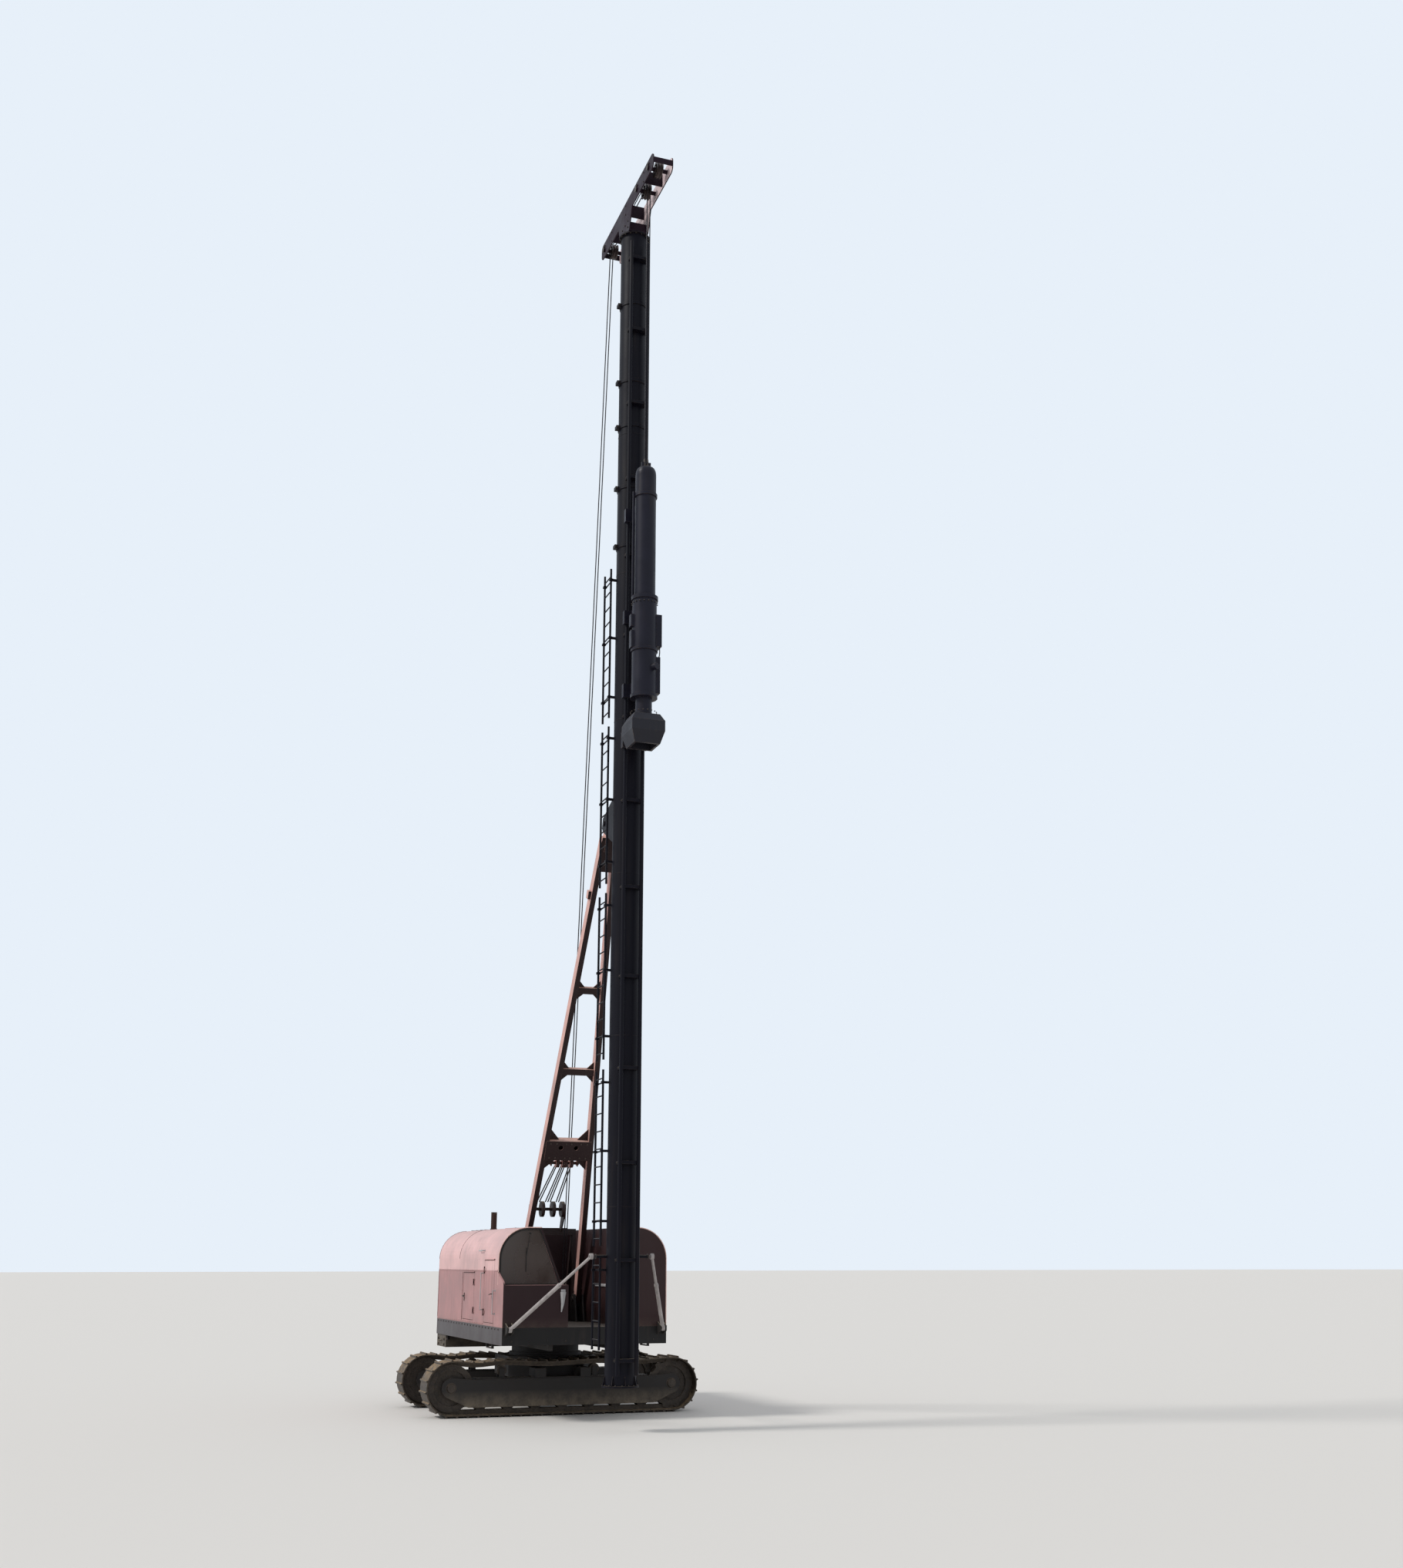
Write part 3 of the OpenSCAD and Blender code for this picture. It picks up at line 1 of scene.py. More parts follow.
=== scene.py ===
# %% [markdown]
# # A pile driver rig on a crawler base
# The machine is an old cable excavator that carries a tall tube, the leader, with a diesel hammer
# sliding on it. The CAD model already gives every main form in metres. This script dresses it:
# it adds the ropes, bolts, seams and grips, and gives every surface paint, rust, mud and dust.
# The model is loaded first, because everything else is placed from its boxes.

# %% Load the model as a fixed frame
import math
import bmesh
import bpy
from mathutils import Matrix, Vector


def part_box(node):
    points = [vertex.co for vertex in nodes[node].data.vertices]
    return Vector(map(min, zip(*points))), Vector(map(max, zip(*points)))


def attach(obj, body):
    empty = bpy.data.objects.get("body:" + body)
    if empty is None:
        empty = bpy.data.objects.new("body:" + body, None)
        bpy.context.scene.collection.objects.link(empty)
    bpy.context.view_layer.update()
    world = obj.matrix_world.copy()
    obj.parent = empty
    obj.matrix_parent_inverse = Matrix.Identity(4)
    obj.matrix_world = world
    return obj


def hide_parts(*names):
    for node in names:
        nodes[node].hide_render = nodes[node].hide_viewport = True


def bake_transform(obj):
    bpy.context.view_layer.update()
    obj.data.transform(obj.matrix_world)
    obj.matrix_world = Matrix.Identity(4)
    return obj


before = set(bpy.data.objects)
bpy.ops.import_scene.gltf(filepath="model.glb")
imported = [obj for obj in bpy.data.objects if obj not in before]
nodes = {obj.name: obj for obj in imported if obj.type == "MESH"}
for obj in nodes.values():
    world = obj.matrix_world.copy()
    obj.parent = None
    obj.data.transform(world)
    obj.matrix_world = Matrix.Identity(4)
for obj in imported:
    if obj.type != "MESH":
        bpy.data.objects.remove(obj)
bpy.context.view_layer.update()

scene = bpy.context.scene

# %% [markdown]
# ## The camera
# The photograph was taken from the ground in front of the rig and to its right, tilted well up so
# that the top of the leader fits in. The place, tilt and lens were worked out from the rig's own
# plumb lines and its known heights. The camera is built from three directions, right, up and
# back, because that is what the columns of its matrix hold.

# %% Place the camera
FOCAL_PX, PHOTO_HEIGHT_PX, SENSOR_MM = 2167.46, 2034, 36
slew_x = (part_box("slew_ring")[0][0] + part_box("slew_ring")[1][0]) / 2
turn = math.radians(69.9077)
tilt = math.radians(15.8991)
camera_at = Vector((slew_x + 32.970, -8.845, 2.7333))
right = Vector((math.cos(turn), math.sin(turn), 0))
ahead = Vector((-math.sin(turn) * math.cos(tilt), math.cos(turn) * math.cos(tilt), math.sin(tilt)))
up = right.cross(ahead)

lens_data = bpy.data.cameras.new("camera")
lens_data.lens = FOCAL_PX * SENSOR_MM / PHOTO_HEIGHT_PX
lens_data.clip_end = 500
camera = bpy.data.objects.new("camera", lens_data)
camera.matrix_world = Matrix((
    (right.x, up.x, -ahead.x, camera_at.x),
    (right.y, up.y, -ahead.y, camera_at.y),
    (right.z, up.z, -ahead.z, camera_at.z),
    (0, 0, 0, 1)))
scene.collection.objects.link(camera)
scene.camera = camera
print("lens", round(lens_data.lens, 2), "mm")

# %% [markdown]
# ## Helpers for node trees
# Every finish on the rig, and the world too, is a small tree of nodes. A few helpers keep such
# trees short: one adds a node and fills or links its inputs, one starts a node group, which is
# how an effect that many finishes share is built once, and two wrap the maths nodes used most.

# %% Node helpers
def put(tree, kind, feeds=None, **settings):
    made = tree.nodes.new(kind)
    for name, value in settings.items():
        setattr(made, name, value)
    for name, value in (feeds or {}).items():
        if isinstance(value, bpy.types.NodeSocket):
            tree.links.new(value, made.inputs[name])
        else:
            made.inputs[name].default_value = value
    return made

def start_group(title, inputs, outputs):
    group = bpy.data.node_groups.new(title, "ShaderNodeTree")
    for label, kind, value in inputs:
        socket = group.interface.new_socket(label, in_out="INPUT", socket_type=kind)
        socket.default_value = value
    for label, kind in outputs:
        group.interface.new_socket(label, in_out="OUTPUT", socket_type=kind)
    return group, put(group, "NodeGroupInput").outputs, put(group, "NodeGroupOutput").inputs

def spread(tree, value, low, high, to_low=0.0, to_high=1.0):
    feeds = {"Value": value, "From Min": low, "From Max": high, "To Min": to_low, "To Max": to_high}
    return put(tree, "ShaderNodeMapRange", feeds).outputs["Result"]

def sums(tree, operation, a, b):
    return put(tree, "ShaderNodeMath", {0: a, 1: b}, operation=operation, use_clamp=True).outputs[0]

print("node helpers ready")

# %% [markdown]
# ## Light and floor
# In the photograph the sun stands to the left of the camera, so the right side of the house is
# bright and the fronts lie in shade. A broad, soft sun from there and an even pale world give the
# same reading without hard shadows. The world is shown pale to the camera and to reflections.

# %% Light the scene
scene.view_settings.view_transform = "Standard"
sun_data = bpy.data.lights.new("sun", "SUN")
sun_data.energy = 1.75
sun_data.angle = math.radians(12)
sun_data.color = (1.0, 0.97, 0.93)
sun = bpy.data.objects.new("sun", sun_data)
sun_from = Vector((-0.05, -1.0, 0.95))
sun.rotation_euler = sun_from.to_track_quat("Z", "Y").to_euler()
scene.collection.objects.link(sun)

world = bpy.data.worlds.new("studio")
scene.world = world
world.use_nodes = True
tree = world.node_tree
tree.nodes.clear()
rays = put(tree, "ShaderNodeLightPath").outputs
camera_or_gloss = sums(tree, "MAXIMUM", rays["Is Camera Ray"], rays["Is Glossy Ray"])
any_seen = sums(tree, "MAXIMUM", camera_or_gloss, rays["Is Transmission Ray"])
seen = put(tree, "ShaderNodeBackground", {"Color": (0.80, 0.87, 0.95, 1)}).outputs[0]
lighting = put(tree, "ShaderNodeBackground", {"Color": (0.93, 0.96, 1.0, 1), "Strength": 0.62}).outputs[0]
pick = put(tree, "ShaderNodeMixShader", {0: any_seen, 1: lighting, 2: seen}).outputs[0]
put(tree, "ShaderNodeOutputWorld", {"Surface": pick})
print("sun and world set")

# %% Lay the floor
def studio_floor(size):
    bm = bmesh.new()
    bmesh.ops.create_grid(bm, x_segments=1, y_segments=1, size=size)
    mesh = bpy.data.meshes.new("floor")
    bm.to_mesh(mesh)
    bm.free()
    floor = bpy.data.objects.new("floor", mesh)
    scene.collection.objects.link(floor)
    plaster = bpy.data.materials.new("pale_floor")
    plaster.use_nodes = True
    shader = plaster.node_tree.nodes["Principled BSDF"]
    shader.inputs["Base Color"].default_value = (0.72, 0.70, 0.67, 1)
    shader.inputs["Roughness"].default_value = 0.9
    mesh.materials.append(plaster)

studio_floor(400)
print("floor laid")

# %% [markdown]
# ## Shared effects
# Old site machines show the same five things everywhere: paint that has faded in blotches, dirt
# that ran down with the rain, dust that lies on ledges and near the ground, bare steel at the
# edges, and a slightly uneven skin. Each is a node group that puts out one mask or height. A sixth
# group, facing, masks the faces that look in one direction.

# %% Blotches and runs
FLOAT = "NodeSocketFloat"
blotches, g_in, g_out = start_group("blotches", [("Scale", FLOAT, 2.0)], [("Mask", FLOAT)])
place = put(blotches, "ShaderNodeTexCoord").outputs["Object"]
cloud = put(blotches, "ShaderNodeTexNoise",
            {"Vector": place, "Scale": g_in["Scale"], "Detail": 5.0, "Roughness": 0.62})
blotches.links.new(spread(blotches, cloud.outputs["Fac"], 0.36, 0.66), g_out["Mask"])

runs, g_in, g_out = start_group("rain runs", [("Scale", FLOAT, 9.0), ("Amount", FLOAT, 0.5)],
                                [("Mask", FLOAT)])
place = put(runs, "ShaderNodeTexCoord").outputs["Object"]
drawn = put(runs, "ShaderNodeMapping", {"Vector": place, "Scale": (1.0, 1.0, 0.07)}).outputs[0]
lines = put(runs, "ShaderNodeTexNoise",
            {"Vector": drawn, "Scale": g_in["Scale"], "Detail": 3.0, "Roughness": 0.55})
patches = put(runs, "ShaderNodeTexNoise", {"Vector": place, "Scale": 0.9, "Detail": 1.0})
both = sums(runs, "MULTIPLY", spread(runs, lines.outputs["Fac"], 0.5, 0.72),
            spread(runs, patches.outputs["Fac"], 0.4, 0.6))
runs.links.new(sums(runs, "MULTIPLY", both, g_in["Amount"]), g_out["Mask"])
print("blotches and rain runs built")

# %% Dust on ledges and near the ground
dust, g_in, g_out = start_group("dust", [("Level", FLOAT, 2.0), ("Ledges", FLOAT, 0.5)], [("Mask", FLOAT)])
coords = put(dust, "ShaderNodeTexCoord")
height = put(dust, "ShaderNodeSeparateXYZ", {0: coords.outputs["Object"]}).outputs["Z"]
low_down = spread(dust, height, 0.0, g_in["Level"], 0.85, 0.0)
facing_up = put(dust, "ShaderNodeSeparateXYZ", {0: coords.outputs["Normal"]}).outputs["Z"]
on_ledges = sums(dust, "MULTIPLY", spread(dust, facing_up, 0.55, 0.95), g_in["Ledges"])
grains = put(dust, "ShaderNodeTexNoise",
             {"Vector": coords.outputs["Object"], "Scale": 6.0, "Detail": 6.0, "Roughness": 0.7})
laid = sums(dust, "ADD", low_down, on_ledges)
patchy = spread(dust, grains.outputs["Fac"], 0.32, 0.6, 0.25, 1.0)
dust.links.new(sums(dust, "MULTIPLY", laid, patchy), g_out["Mask"])
print("dust built")

# %% Worn edges and an uneven skin
edges, g_in, g_out = start_group("worn edges", [("Width", FLOAT, 0.012), ("Amount", FLOAT, 0.6)],
                                [("Mask", FLOAT)])
true_normal = put(edges, "ShaderNodeNewGeometry").outputs["Normal"]
rounded = put(edges, "ShaderNodeBevel", {"Radius": g_in["Width"]}, samples=3).outputs["Normal"]
same = put(edges, "ShaderNodeVectorMath", {0: true_normal, 1: rounded},
           operation="DOT_PRODUCT").outputs["Value"]
place = put(edges, "ShaderNodeTexCoord").outputs["Object"]
nicks = put(edges, "ShaderNodeTexNoise", {"Vector": place, "Scale": 14.0, "Detail": 4.0, "Roughness": 0.7})
bare = sums(edges, "MULTIPLY", spread(edges, same, 0.99, 0.9),
            spread(edges, nicks.outputs["Fac"], 0.42, 0.6))
edges.links.new(sums(edges, "MULTIPLY", bare, g_in["Amount"]), g_out["Mask"])

skin_bumps, g_in, g_out = start_group("uneven skin", [("Scale", FLOAT, 60.0)], [("Height", FLOAT)])
place = put(skin_bumps, "ShaderNodeTexCoord").outputs["Object"]
fine = put(skin_bumps, "ShaderNodeTexNoise",
           {"Vector": place, "Scale": g_in["Scale"], "Detail": 4.0, "Roughness": 0.6})
dents = put(skin_bumps, "ShaderNodeTexNoise", {"Vector": place, "Scale": 2.2, "Detail": 1.0})
fine_part = sums(skin_bumps, "MULTIPLY", fine.outputs["Fac"], 0.35)
dent_part = sums(skin_bumps, "MULTIPLY", dents.outputs["Fac"], 0.65)
skin_bumps.links.new(sums(skin_bumps, "ADD", fine_part, dent_part), g_out["Height"])

facing, g_in, g_out = start_group("facing", [("Direction", "NodeSocketVector", (1.0, 0.0, 0.0)),
                                             ("From", FLOAT, 0.45), ("To", FLOAT, 0.7)], [("Mask", FLOAT)])
own_normal = put(facing, "ShaderNodeTexCoord").outputs["Normal"]
along = put(facing, "ShaderNodeVectorMath", {0: own_normal, 1: g_in["Direction"]},
            operation="DOT_PRODUCT").outputs["Value"]
facing.links.new(spread(facing, along, g_in["From"], g_in["To"]), g_out["Mask"])
print("worn edges, skin and facing built")

# %% [markdown]
# ## Painted steel
# One recipe serves all the painted parts. From the bottom up it lays a blotchy paint, a darker
# painted shade below a given height, a second tone on the faces that look one way, which is a
# painted shade on faces turned from the sun and a painted sunlight on the head's inner plate, dark
# rain runs, worn edges and then dust. The same masks drive the roughness, because dust is dull
# and a worn edge is brighter than paint.

# %% A recipe for painted steel
skins = {}
DUST = (0.33, 0.27, 0.20, 1)
GRIME = (0.035, 0.026, 0.022, 1)
BARE = (0.13, 0.085, 0.06, 1)

def use(tree, group, **values):
    made = put(tree, "ShaderNodeGroup", node_tree=group)
    for label, value in values.items():
        made.inputs[label].default_value = value
    return made.outputs[0]

def over(tree, mask, under, top):
    return put(tree, "ShaderNodeMix", {0: mask, 6: under, 7: top}, data_type="RGBA").outputs[2]

def tone(colour, factor):
    return tuple(min(1.0, c * factor) for c in colour) + (1,)

def new_skin(title):
    skins[title] = bpy.data.materials.new(title)
    skins[title].use_nodes = True
    tree = skins[title].node_tree
    return tree, tree.nodes["Principled BSDF"]

def raise_bumps(tree, shader, height, strength, distance):
    bump = put(tree, "ShaderNodeBump", {"Strength": strength, "Distance": distance, "Height": height})
    tree.links.new(bump.outputs["Normal"], shader.inputs["Normal"])

def along_axis(tree, axis):
    place = put(tree, "ShaderNodeTexCoord").outputs["Object"]
    return put(tree, "ShaderNodeSeparateXYZ", {0: place}).outputs[axis]

# lower is a height with a painted shade colour below it, darker where the shoulder above gets more
# light. front is a painted light tone on faces that look in one direction: painted shade on faces
# turned from the sun, and painted sunlight on the head's inner plate. beyond keeps that tone to the
# places with a larger Y.
def painted(title, colour, level=1.0, ledges=0.5, run=0.5, worn=0.5, width=0.012, rough=0.55,
            front=None, direction=(1.0, 0.0, 0.0), beyond=None, lower=None, blotch=1.6, depth=0.25,
            dust_and_sunlit_colour=DUST, metal=0.0, shine=0.3):
    tree, shader = new_skin(title)
    faded = use(tree, blotches, Scale=blotch)
    surface = over(tree, faded, tone(colour, 0.84), tone(colour, 1.10))
    # Painted shade: a darker colour below the seam height.
    if lower:
        seam, shaded_low_colour = lower
        above = spread(tree, along_axis(tree, "Z"), seam - 0.01, seam + 0.01)
        surface = over(tree, above, over(tree, faded, tone(shaded_low_colour, 0.8), tone(shaded_low_colour, 1.1)), surface)
    # A painted light tone on faces that look one way: shade on most parts, sunlight on the head.
    if front:
        light_shade_faces = use(tree, facing, Direction=direction)
        if beyond is not None:
            past = sums(tree, "GREATER_THAN", along_axis(tree, "Y"), beyond)
            light_shade_faces = sums(tree, "MULTIPLY", light_shade_faces, past)
        surface = over(tree, light_shade_faces, surface, tuple(front) + (1,))
    surface = over(tree, use(tree, runs, Amount=run), surface, GRIME)
    surface = over(tree, use(tree, edges, Width=width, Amount=worn), surface, BARE)
    dusty = use(tree, dust, Level=level, Ledges=ledges)
    tree.links.new(over(tree, dusty, surface, dust_and_sunlit_colour), shader.inputs["Base Color"])
    dull = spread(tree, faded, 0.0, 1.0, rough - 0.08, rough + 0.08)
    tree.links.new(sums(tree, "ADD", dull, sums(tree, "MULTIPLY", dusty, 0.3)), shader.inputs["Roughness"])
    shader.inputs["Specular IOR Level"].default_value = shine
    if metal:
        shader.inputs["Metallic"].default_value = metal
    raise_bumps(tree, shader, use(tree, skin_bumps), depth, 0.01)

print("recipe for painted steel ready")

# %% [markdown]
# ## The rig's colours and its painted shade
# The house is a pale, sun-bleached pink on its sides, with a darker painted shade below the seam,
# and a dark maroon painted shade on its fronts. The boom's fronts and the left wing's inner wall
# carry the same dark painted shade, the gantry a dark red one, and the deck's front a near black
# one. The deck's rim is a dirty grey. The leader and the hammer are close to black, with a hint of
# blue, which on the leader is partly a painted reflection of the sky. The head on top is a dark
# purple with a painted sunlight on the inner face of its far plate.

# %% Paints
SEAM_Z = 2.55
# The lower colour is a painted shade: the sides are darker below the seam, under the lit shoulder.
PANEL = {"level": 1.75, "ledges": 0.12, "run": 0.22, "worn": 0.30, "lower": (SEAM_Z, (0.42, 0.225, 0.225))}
# front is a painted shade: dark maroon on the faces that look forward, away from the sun.
painted("house_pink", (0.67, 0.435, 0.43), front=(0.022, 0.0075, 0.009), **PANEL)
# front paints shade, dark maroon, on the wing's forward faces and on its inner wall.
painted("wing_pink", (0.67, 0.435, 0.43), front=(0.030, 0.0115, 0.012), direction=(0.7, -0.7, 0.0), **PANEL)
# front paints shade, dark maroon, on the faces of the boom that look forward.
painted("boom_pink", (0.60, 0.36, 0.32), run=0.35, worn=0.6, width=0.01, front=(0.019, 0.0075, 0.008),
        direction=(0.92, 0.0, -0.39), blotch=2.5)
# front paints shade, near black, on the deck's forward faces.
painted("deck_grey", (0.075, 0.066, 0.070), level=1.1, worn=0.4, front=(0.008, 0.007, 0.007))
painted("frame_black", (0.024, 0.021, 0.020), level=0.45, worn=0.35, rough=0.62)
painted("cast_weight", (0.035, 0.031, 0.030), level=1.8, ledges=0.8, worn=0.4, rough=0.68, depth=0.5)
painted("engine_block", (0.09, 0.10, 0.095), level=1.2, ledges=0.7, run=0.8, rough=0.5, blotch=5)
# The gantry's dark red is a painted shade of the house's pink.
painted("dark_red", (0.026, 0.015, 0.015))
painted("rusty_steel", (0.040, 0.020, 0.015), level=0.8, run=0.9, worn=0.2, rough=0.8, blotch=9, depth=0.6)
painted("strut_grey", (0.38, 0.35, 0.345), level=1.4, ledges=0.3, run=0.35, width=0.006, blotch=4)
# The blue in this near black is partly a painted reflection of the sky.
painted("leader_navy", (0.0038, 0.0036, 0.0080), level=0.6, ledges=0.35, run=0.25, worn=0.4, rough=0.5,
        blotch=0.8, shine=0.12)
# The pale dust colour is partly dust and partly a painted sunlight on the ladder's lower part and rungs.
painted("ladder_navy", (0.0065, 0.0062, 0.0110), level=0.8, run=0.2, worn=0.4, width=0.005, rough=0.5,
        blotch=3, shine=0.12, dust_and_sunlit_colour=(0.46, 0.43, 0.40, 1))
# front paints sunlight: a pale tone on the inner face of the far plate.
painted("head_purple", (0.015, 0.0055, 0.0135), level=0.7, ledges=0.3, run=0.1, worn=0.25, rough=0.5,
        front=(0.74, 0.60, 0.62), direction=(0.0, -1.0, 0.0), beyond=0.1, blotch=2, shine=0.12)
painted("hammer_black", (0.0120, 0.0120, 0.022), level=0.8, ledges=0.35, rough=0.42, blotch=3, shine=0.16)
painted("cap_iron", (0.011, 0.011, 0.018), run=0.3, worn=0.8, width=0.02, rough=0.5, depth=0.6)
painted("winch_steel", (0.10, 0.085, 0.075), run=0.4, worn=0.8, rough=0.45, metal=0.6, blotch=6)
painted("sheave_iron", (0.065, 0.05, 0.05), ledges=0.4, worn=0.8, rough=0.45, metal=0.5, blotch=6)
painted("pale_pipe", (0.42, 0.42, 0.43), ledges=0.3, worn=0.6, width=0.004, rough=0.45, blotch=6)
painted("bolt_steel", (0.075, 0.062, 0.055), level=0.6, ledges=0.4, worn=0.7, width=0.003, rough=0.5,
        metal=0.5, blotch=20)
painted("black_rubber", (0.018, 0.018, 0.018), ledges=0.6, run=0.1, worn=0.0, rough=0.8, blotch=5)
# A paler pink, a painted highlight on the rolled front edges.
painted("highlight_pink_edge", (0.80, 0.55, 0.50), ledges=0.1, run=0.2, width=0.004, rough=0.5, blotch=6)
painted("rope_coil", (0.10, 0.088, 0.078), ledges=0.2, run=0.4, worn=0.2, width=0.003, rough=0.5,
        metal=0.4, blotch=9)
print(len(skins), "paints mixed")

# %% [markdown]
# ## Muddy tracks
# The shoes' plates are tan on top, partly dried mud and partly a painted sunlight on the top run,
# and scoured to dull steel on their ribs, and the insides are nearly black with grease. A mask of
# the faces that look up puts the tan where it lies in the photograph, and cracked lumps of it raise
# the bump.

# %% Track steel
def muddy(title, steel, mud, amount):
    tree, shader = new_skin(title)
    place = put(tree, "ShaderNodeTexCoord").outputs["Object"]
    lumps = put(tree, "ShaderNodeTexNoise",
                {"Vector": place, "Scale": 11.0, "Detail": 7.0, "Roughness": 0.68}).outputs["Fac"]
    cracks = put(tree, "ShaderNodeTexVoronoi", {"Vector": place, "Scale": 16.0},
                 feature="DISTANCE_TO_EDGE").outputs["Distance"]
    # Faces that look up get the tan: dried mud, and partly a painted sunlight on the top run.
    upward_mud_and_sun = use(tree, facing, Direction=(0.0, 0.0, 1.0), From=0.1, To=0.8)
    caked_and_sunlit = sums(tree, "MULTIPLY", sums(tree, "ADD", upward_mud_and_sun, amount),
                 spread(tree, lumps, 0.36, 0.55, 0.12, 1.0))
    surface = over(tree, use(tree, blotches, Scale=5.0), tone(steel, 0.7), tone(steel, 1.3))
    surface = over(tree, use(tree, edges, Width=0.012, Amount=0.7), surface, (0.20, 0.15, 0.11, 1))
    dried = over(tree, lumps, tone(mud, 0.72), tone(mud, 1.25))
    tree.links.new(over(tree, caked_and_sunlit, surface, dried), shader.inputs["Base Color"])
    tree.links.new(spread(tree, caked_and_sunlit, 0.0, 1.0, 0.5, 0.95), shader.inputs["Roughness"])
    tree.links.new(spread(tree, caked_and_sunlit, 0.15, 0.5, 0.55, 0.0), shader.inputs["Metallic"])
    heights = sums(tree, "ADD", sums(tree, "MULTIPLY", lumps, caked_and_sunlit),
                   sums(tree, "MULTIPLY", spread(tree, cracks, 0.0, 0.06), 0.12))
    raise_bumps(tree, shader, heights, 0.8, 0.02)

muddy("track_mud", (0.042, 0.034, 0.028), (0.27, 0.19, 0.11), 0.10)
muddy("wheel_mud", (0.042, 0.035, 0.031), (0.13, 0.095, 0.062), 0.20)
print("mud laid")

# %% [markdown]
# ## Glass, cloth and rope
# The windscreen is dusty and brown rather than clear, so it is a dark glass that lets little light
# through, with a film of dust that dulls it. The seat is worn black leatherette. A wire rope shows
# its strands as slanting ridges, drawn from the rope's own UV map so that they follow it.

# %% Glass, seat cover and wire rope
tree, shader = new_skin("dusty_glass")
shader.inputs["Transmission Weight"].default_value = 0.12
shader.inputs["IOR"].default_value = 1.45
film = use(tree, blotches, Scale=1.2)
drips = use(tree, runs, Scale=5.0, Amount=0.4)
filmed = over(tree, film, (0.066, 0.049, 0.042, 1), (0.080, 0.060, 0.052, 1))
tree.links.new(over(tree, drips, filmed, (0.092, 0.070, 0.061, 1)), shader.inputs["Base Color"])
tree.links.new(spread(tree, film, 0.0, 1.0, 0.12, 0.38), shader.inputs["Roughness"])

def leatherette(title, colour):
    tree, shader = new_skin(title)
    place = put(tree, "ShaderNodeTexCoord").outputs["Object"]
    grain = put(tree, "ShaderNodeTexVoronoi", {"Vector": place, "Scale": 420.0},
                feature="DISTANCE_TO_EDGE").outputs["Distance"]
    creases = put(tree, "ShaderNodeTexNoise", {"Vector": place, "Scale": 24.0, "Detail": 5.0}).outputs["Fac"]
    surface = over(tree, use(tree, blotches, Scale=9.0), tone(colour, 0.75), tone(colour, 1.7))
    dusty = use(tree, dust, Level=1.0, Ledges=0.35)
    tree.links.new(over(tree, dusty, surface, DUST), shader.inputs["Base Color"])
    tree.links.new(spread(tree, creases, 0.3, 0.7, 0.42, 0.68), shader.inputs["Roughness"])
    heights = sums(tree, "ADD", sums(tree, "MULTIPLY", spread(tree, grain, 0.0, 0.05), 0.3),
                   sums(tree, "MULTIPLY", creases, 0.6))
    raise_bumps(tree, shader, heights, 0.35, 0.004)

leatherette("seat_cover", (0.022, 0.021, 0.023))

# Each strand takes two slopes, one up and one down.
SLOPES_ROUND, SLOPES_PER_METRE = 6.0, 33.0

def stranded(title, colour):
    tree, shader = new_skin(title)
    uv = put(tree, "ShaderNodeTexCoord").outputs["UV"]
    split = put(tree, "ShaderNodeSeparateXYZ", {0: uv})
    around = put(tree, "ShaderNodeMath", {0: split.outputs["X"], 1: SLOPES_ROUND}, operation="MULTIPLY")
    twist = put(tree, "ShaderNodeMath", {0: split.outputs["Y"], 1: SLOPES_PER_METRE}, operation="MULTIPLY")
    turned = put(tree, "ShaderNodeMath", {0: around.outputs[0], 1: twist.outputs[0]}, operation="ADD")
    ridge = put(tree, "ShaderNodeMath", {0: turned.outputs[0], 1: 1.0}, operation="PINGPONG").outputs[0]
    surface = over(tree, ridge, tone(colour, 0.35), tone(colour, 1.2))
    greasy = over(tree, use(tree, blotches, Scale=7.0), surface, tone(colour, 0.5))
    tree.links.new(greasy, shader.inputs["Base Color"])
    shader.inputs["Roughness"].default_value = 0.48
    shader.inputs["Metallic"].default_value = 0.6
    raise_bumps(tree, shader, ridge, 0.9, 0.004)

stranded("wire_rope", (0.12, 0.105, 0.095))
stranded("dark_rope", (0.040, 0.037, 0.042))
print(len(skins), "finishes in all")

# %% [markdown]
# ## Dress the CAD parts
# Every CAD part keeps its shape and gets a finish in its own material slots. The table goes from
# a finish to the parts that wear it.

# %% Assign the finishes
worn_by = {
    # The slew ring wears this black as a painted shade under the deck.
    "frame_black": ["car_body", "slew_ring", "track_frame_front", "track_frame_rear", "deck_frame",
                    "boom_forks", "strut_forks", "winch_frame"],
    "track_mud": ["track_front", "track_rear"],
    "wheel_mud": ["track_wheels_front", "track_wheels_rear"],
    "deck_grey": ["deck"],
    "cast_weight": ["counterweight"],
    "engine_block": ["engine"],
    "house_pink": ["house_right", "house_left", "house_roof", "house_rear", "cab", "cab_door",
                   "side_door_right", "side_door_left"],
    "wing_pink": ["left_wing"],
    "dusty_glass": ["cab_glass"],
    "seat_cover": ["operator_seat"],
    "winch_steel": ["drum_right", "drum_left"],
    "dark_red": ["gantry"],
    "rusty_steel": ["exhaust"],
    "boom_pink": ["boom"],
    "wire_rope": ["boom_ropes"],
    "strut_grey": ["strut_tube_right", "strut_tube_left", "strut_rod_right", "strut_rod_left"],
    "leader_navy": ["mast", "guide_rails"],
    "ladder_navy": ["ladder"],
    "head_purple": ["head_frame"],
    "sheave_iron": ["sheave_front", "sheave_middle", "sheave_rear"],
    "hammer_black": ["hammer", "hammer_fittings"],
    "cap_iron": ["drive_cap", "cap_guide"],
}
for title, names in worn_by.items():
    for name in names:
        slots = nodes[name].data.materials
        slots.clear()
        slots.append(skins[title])
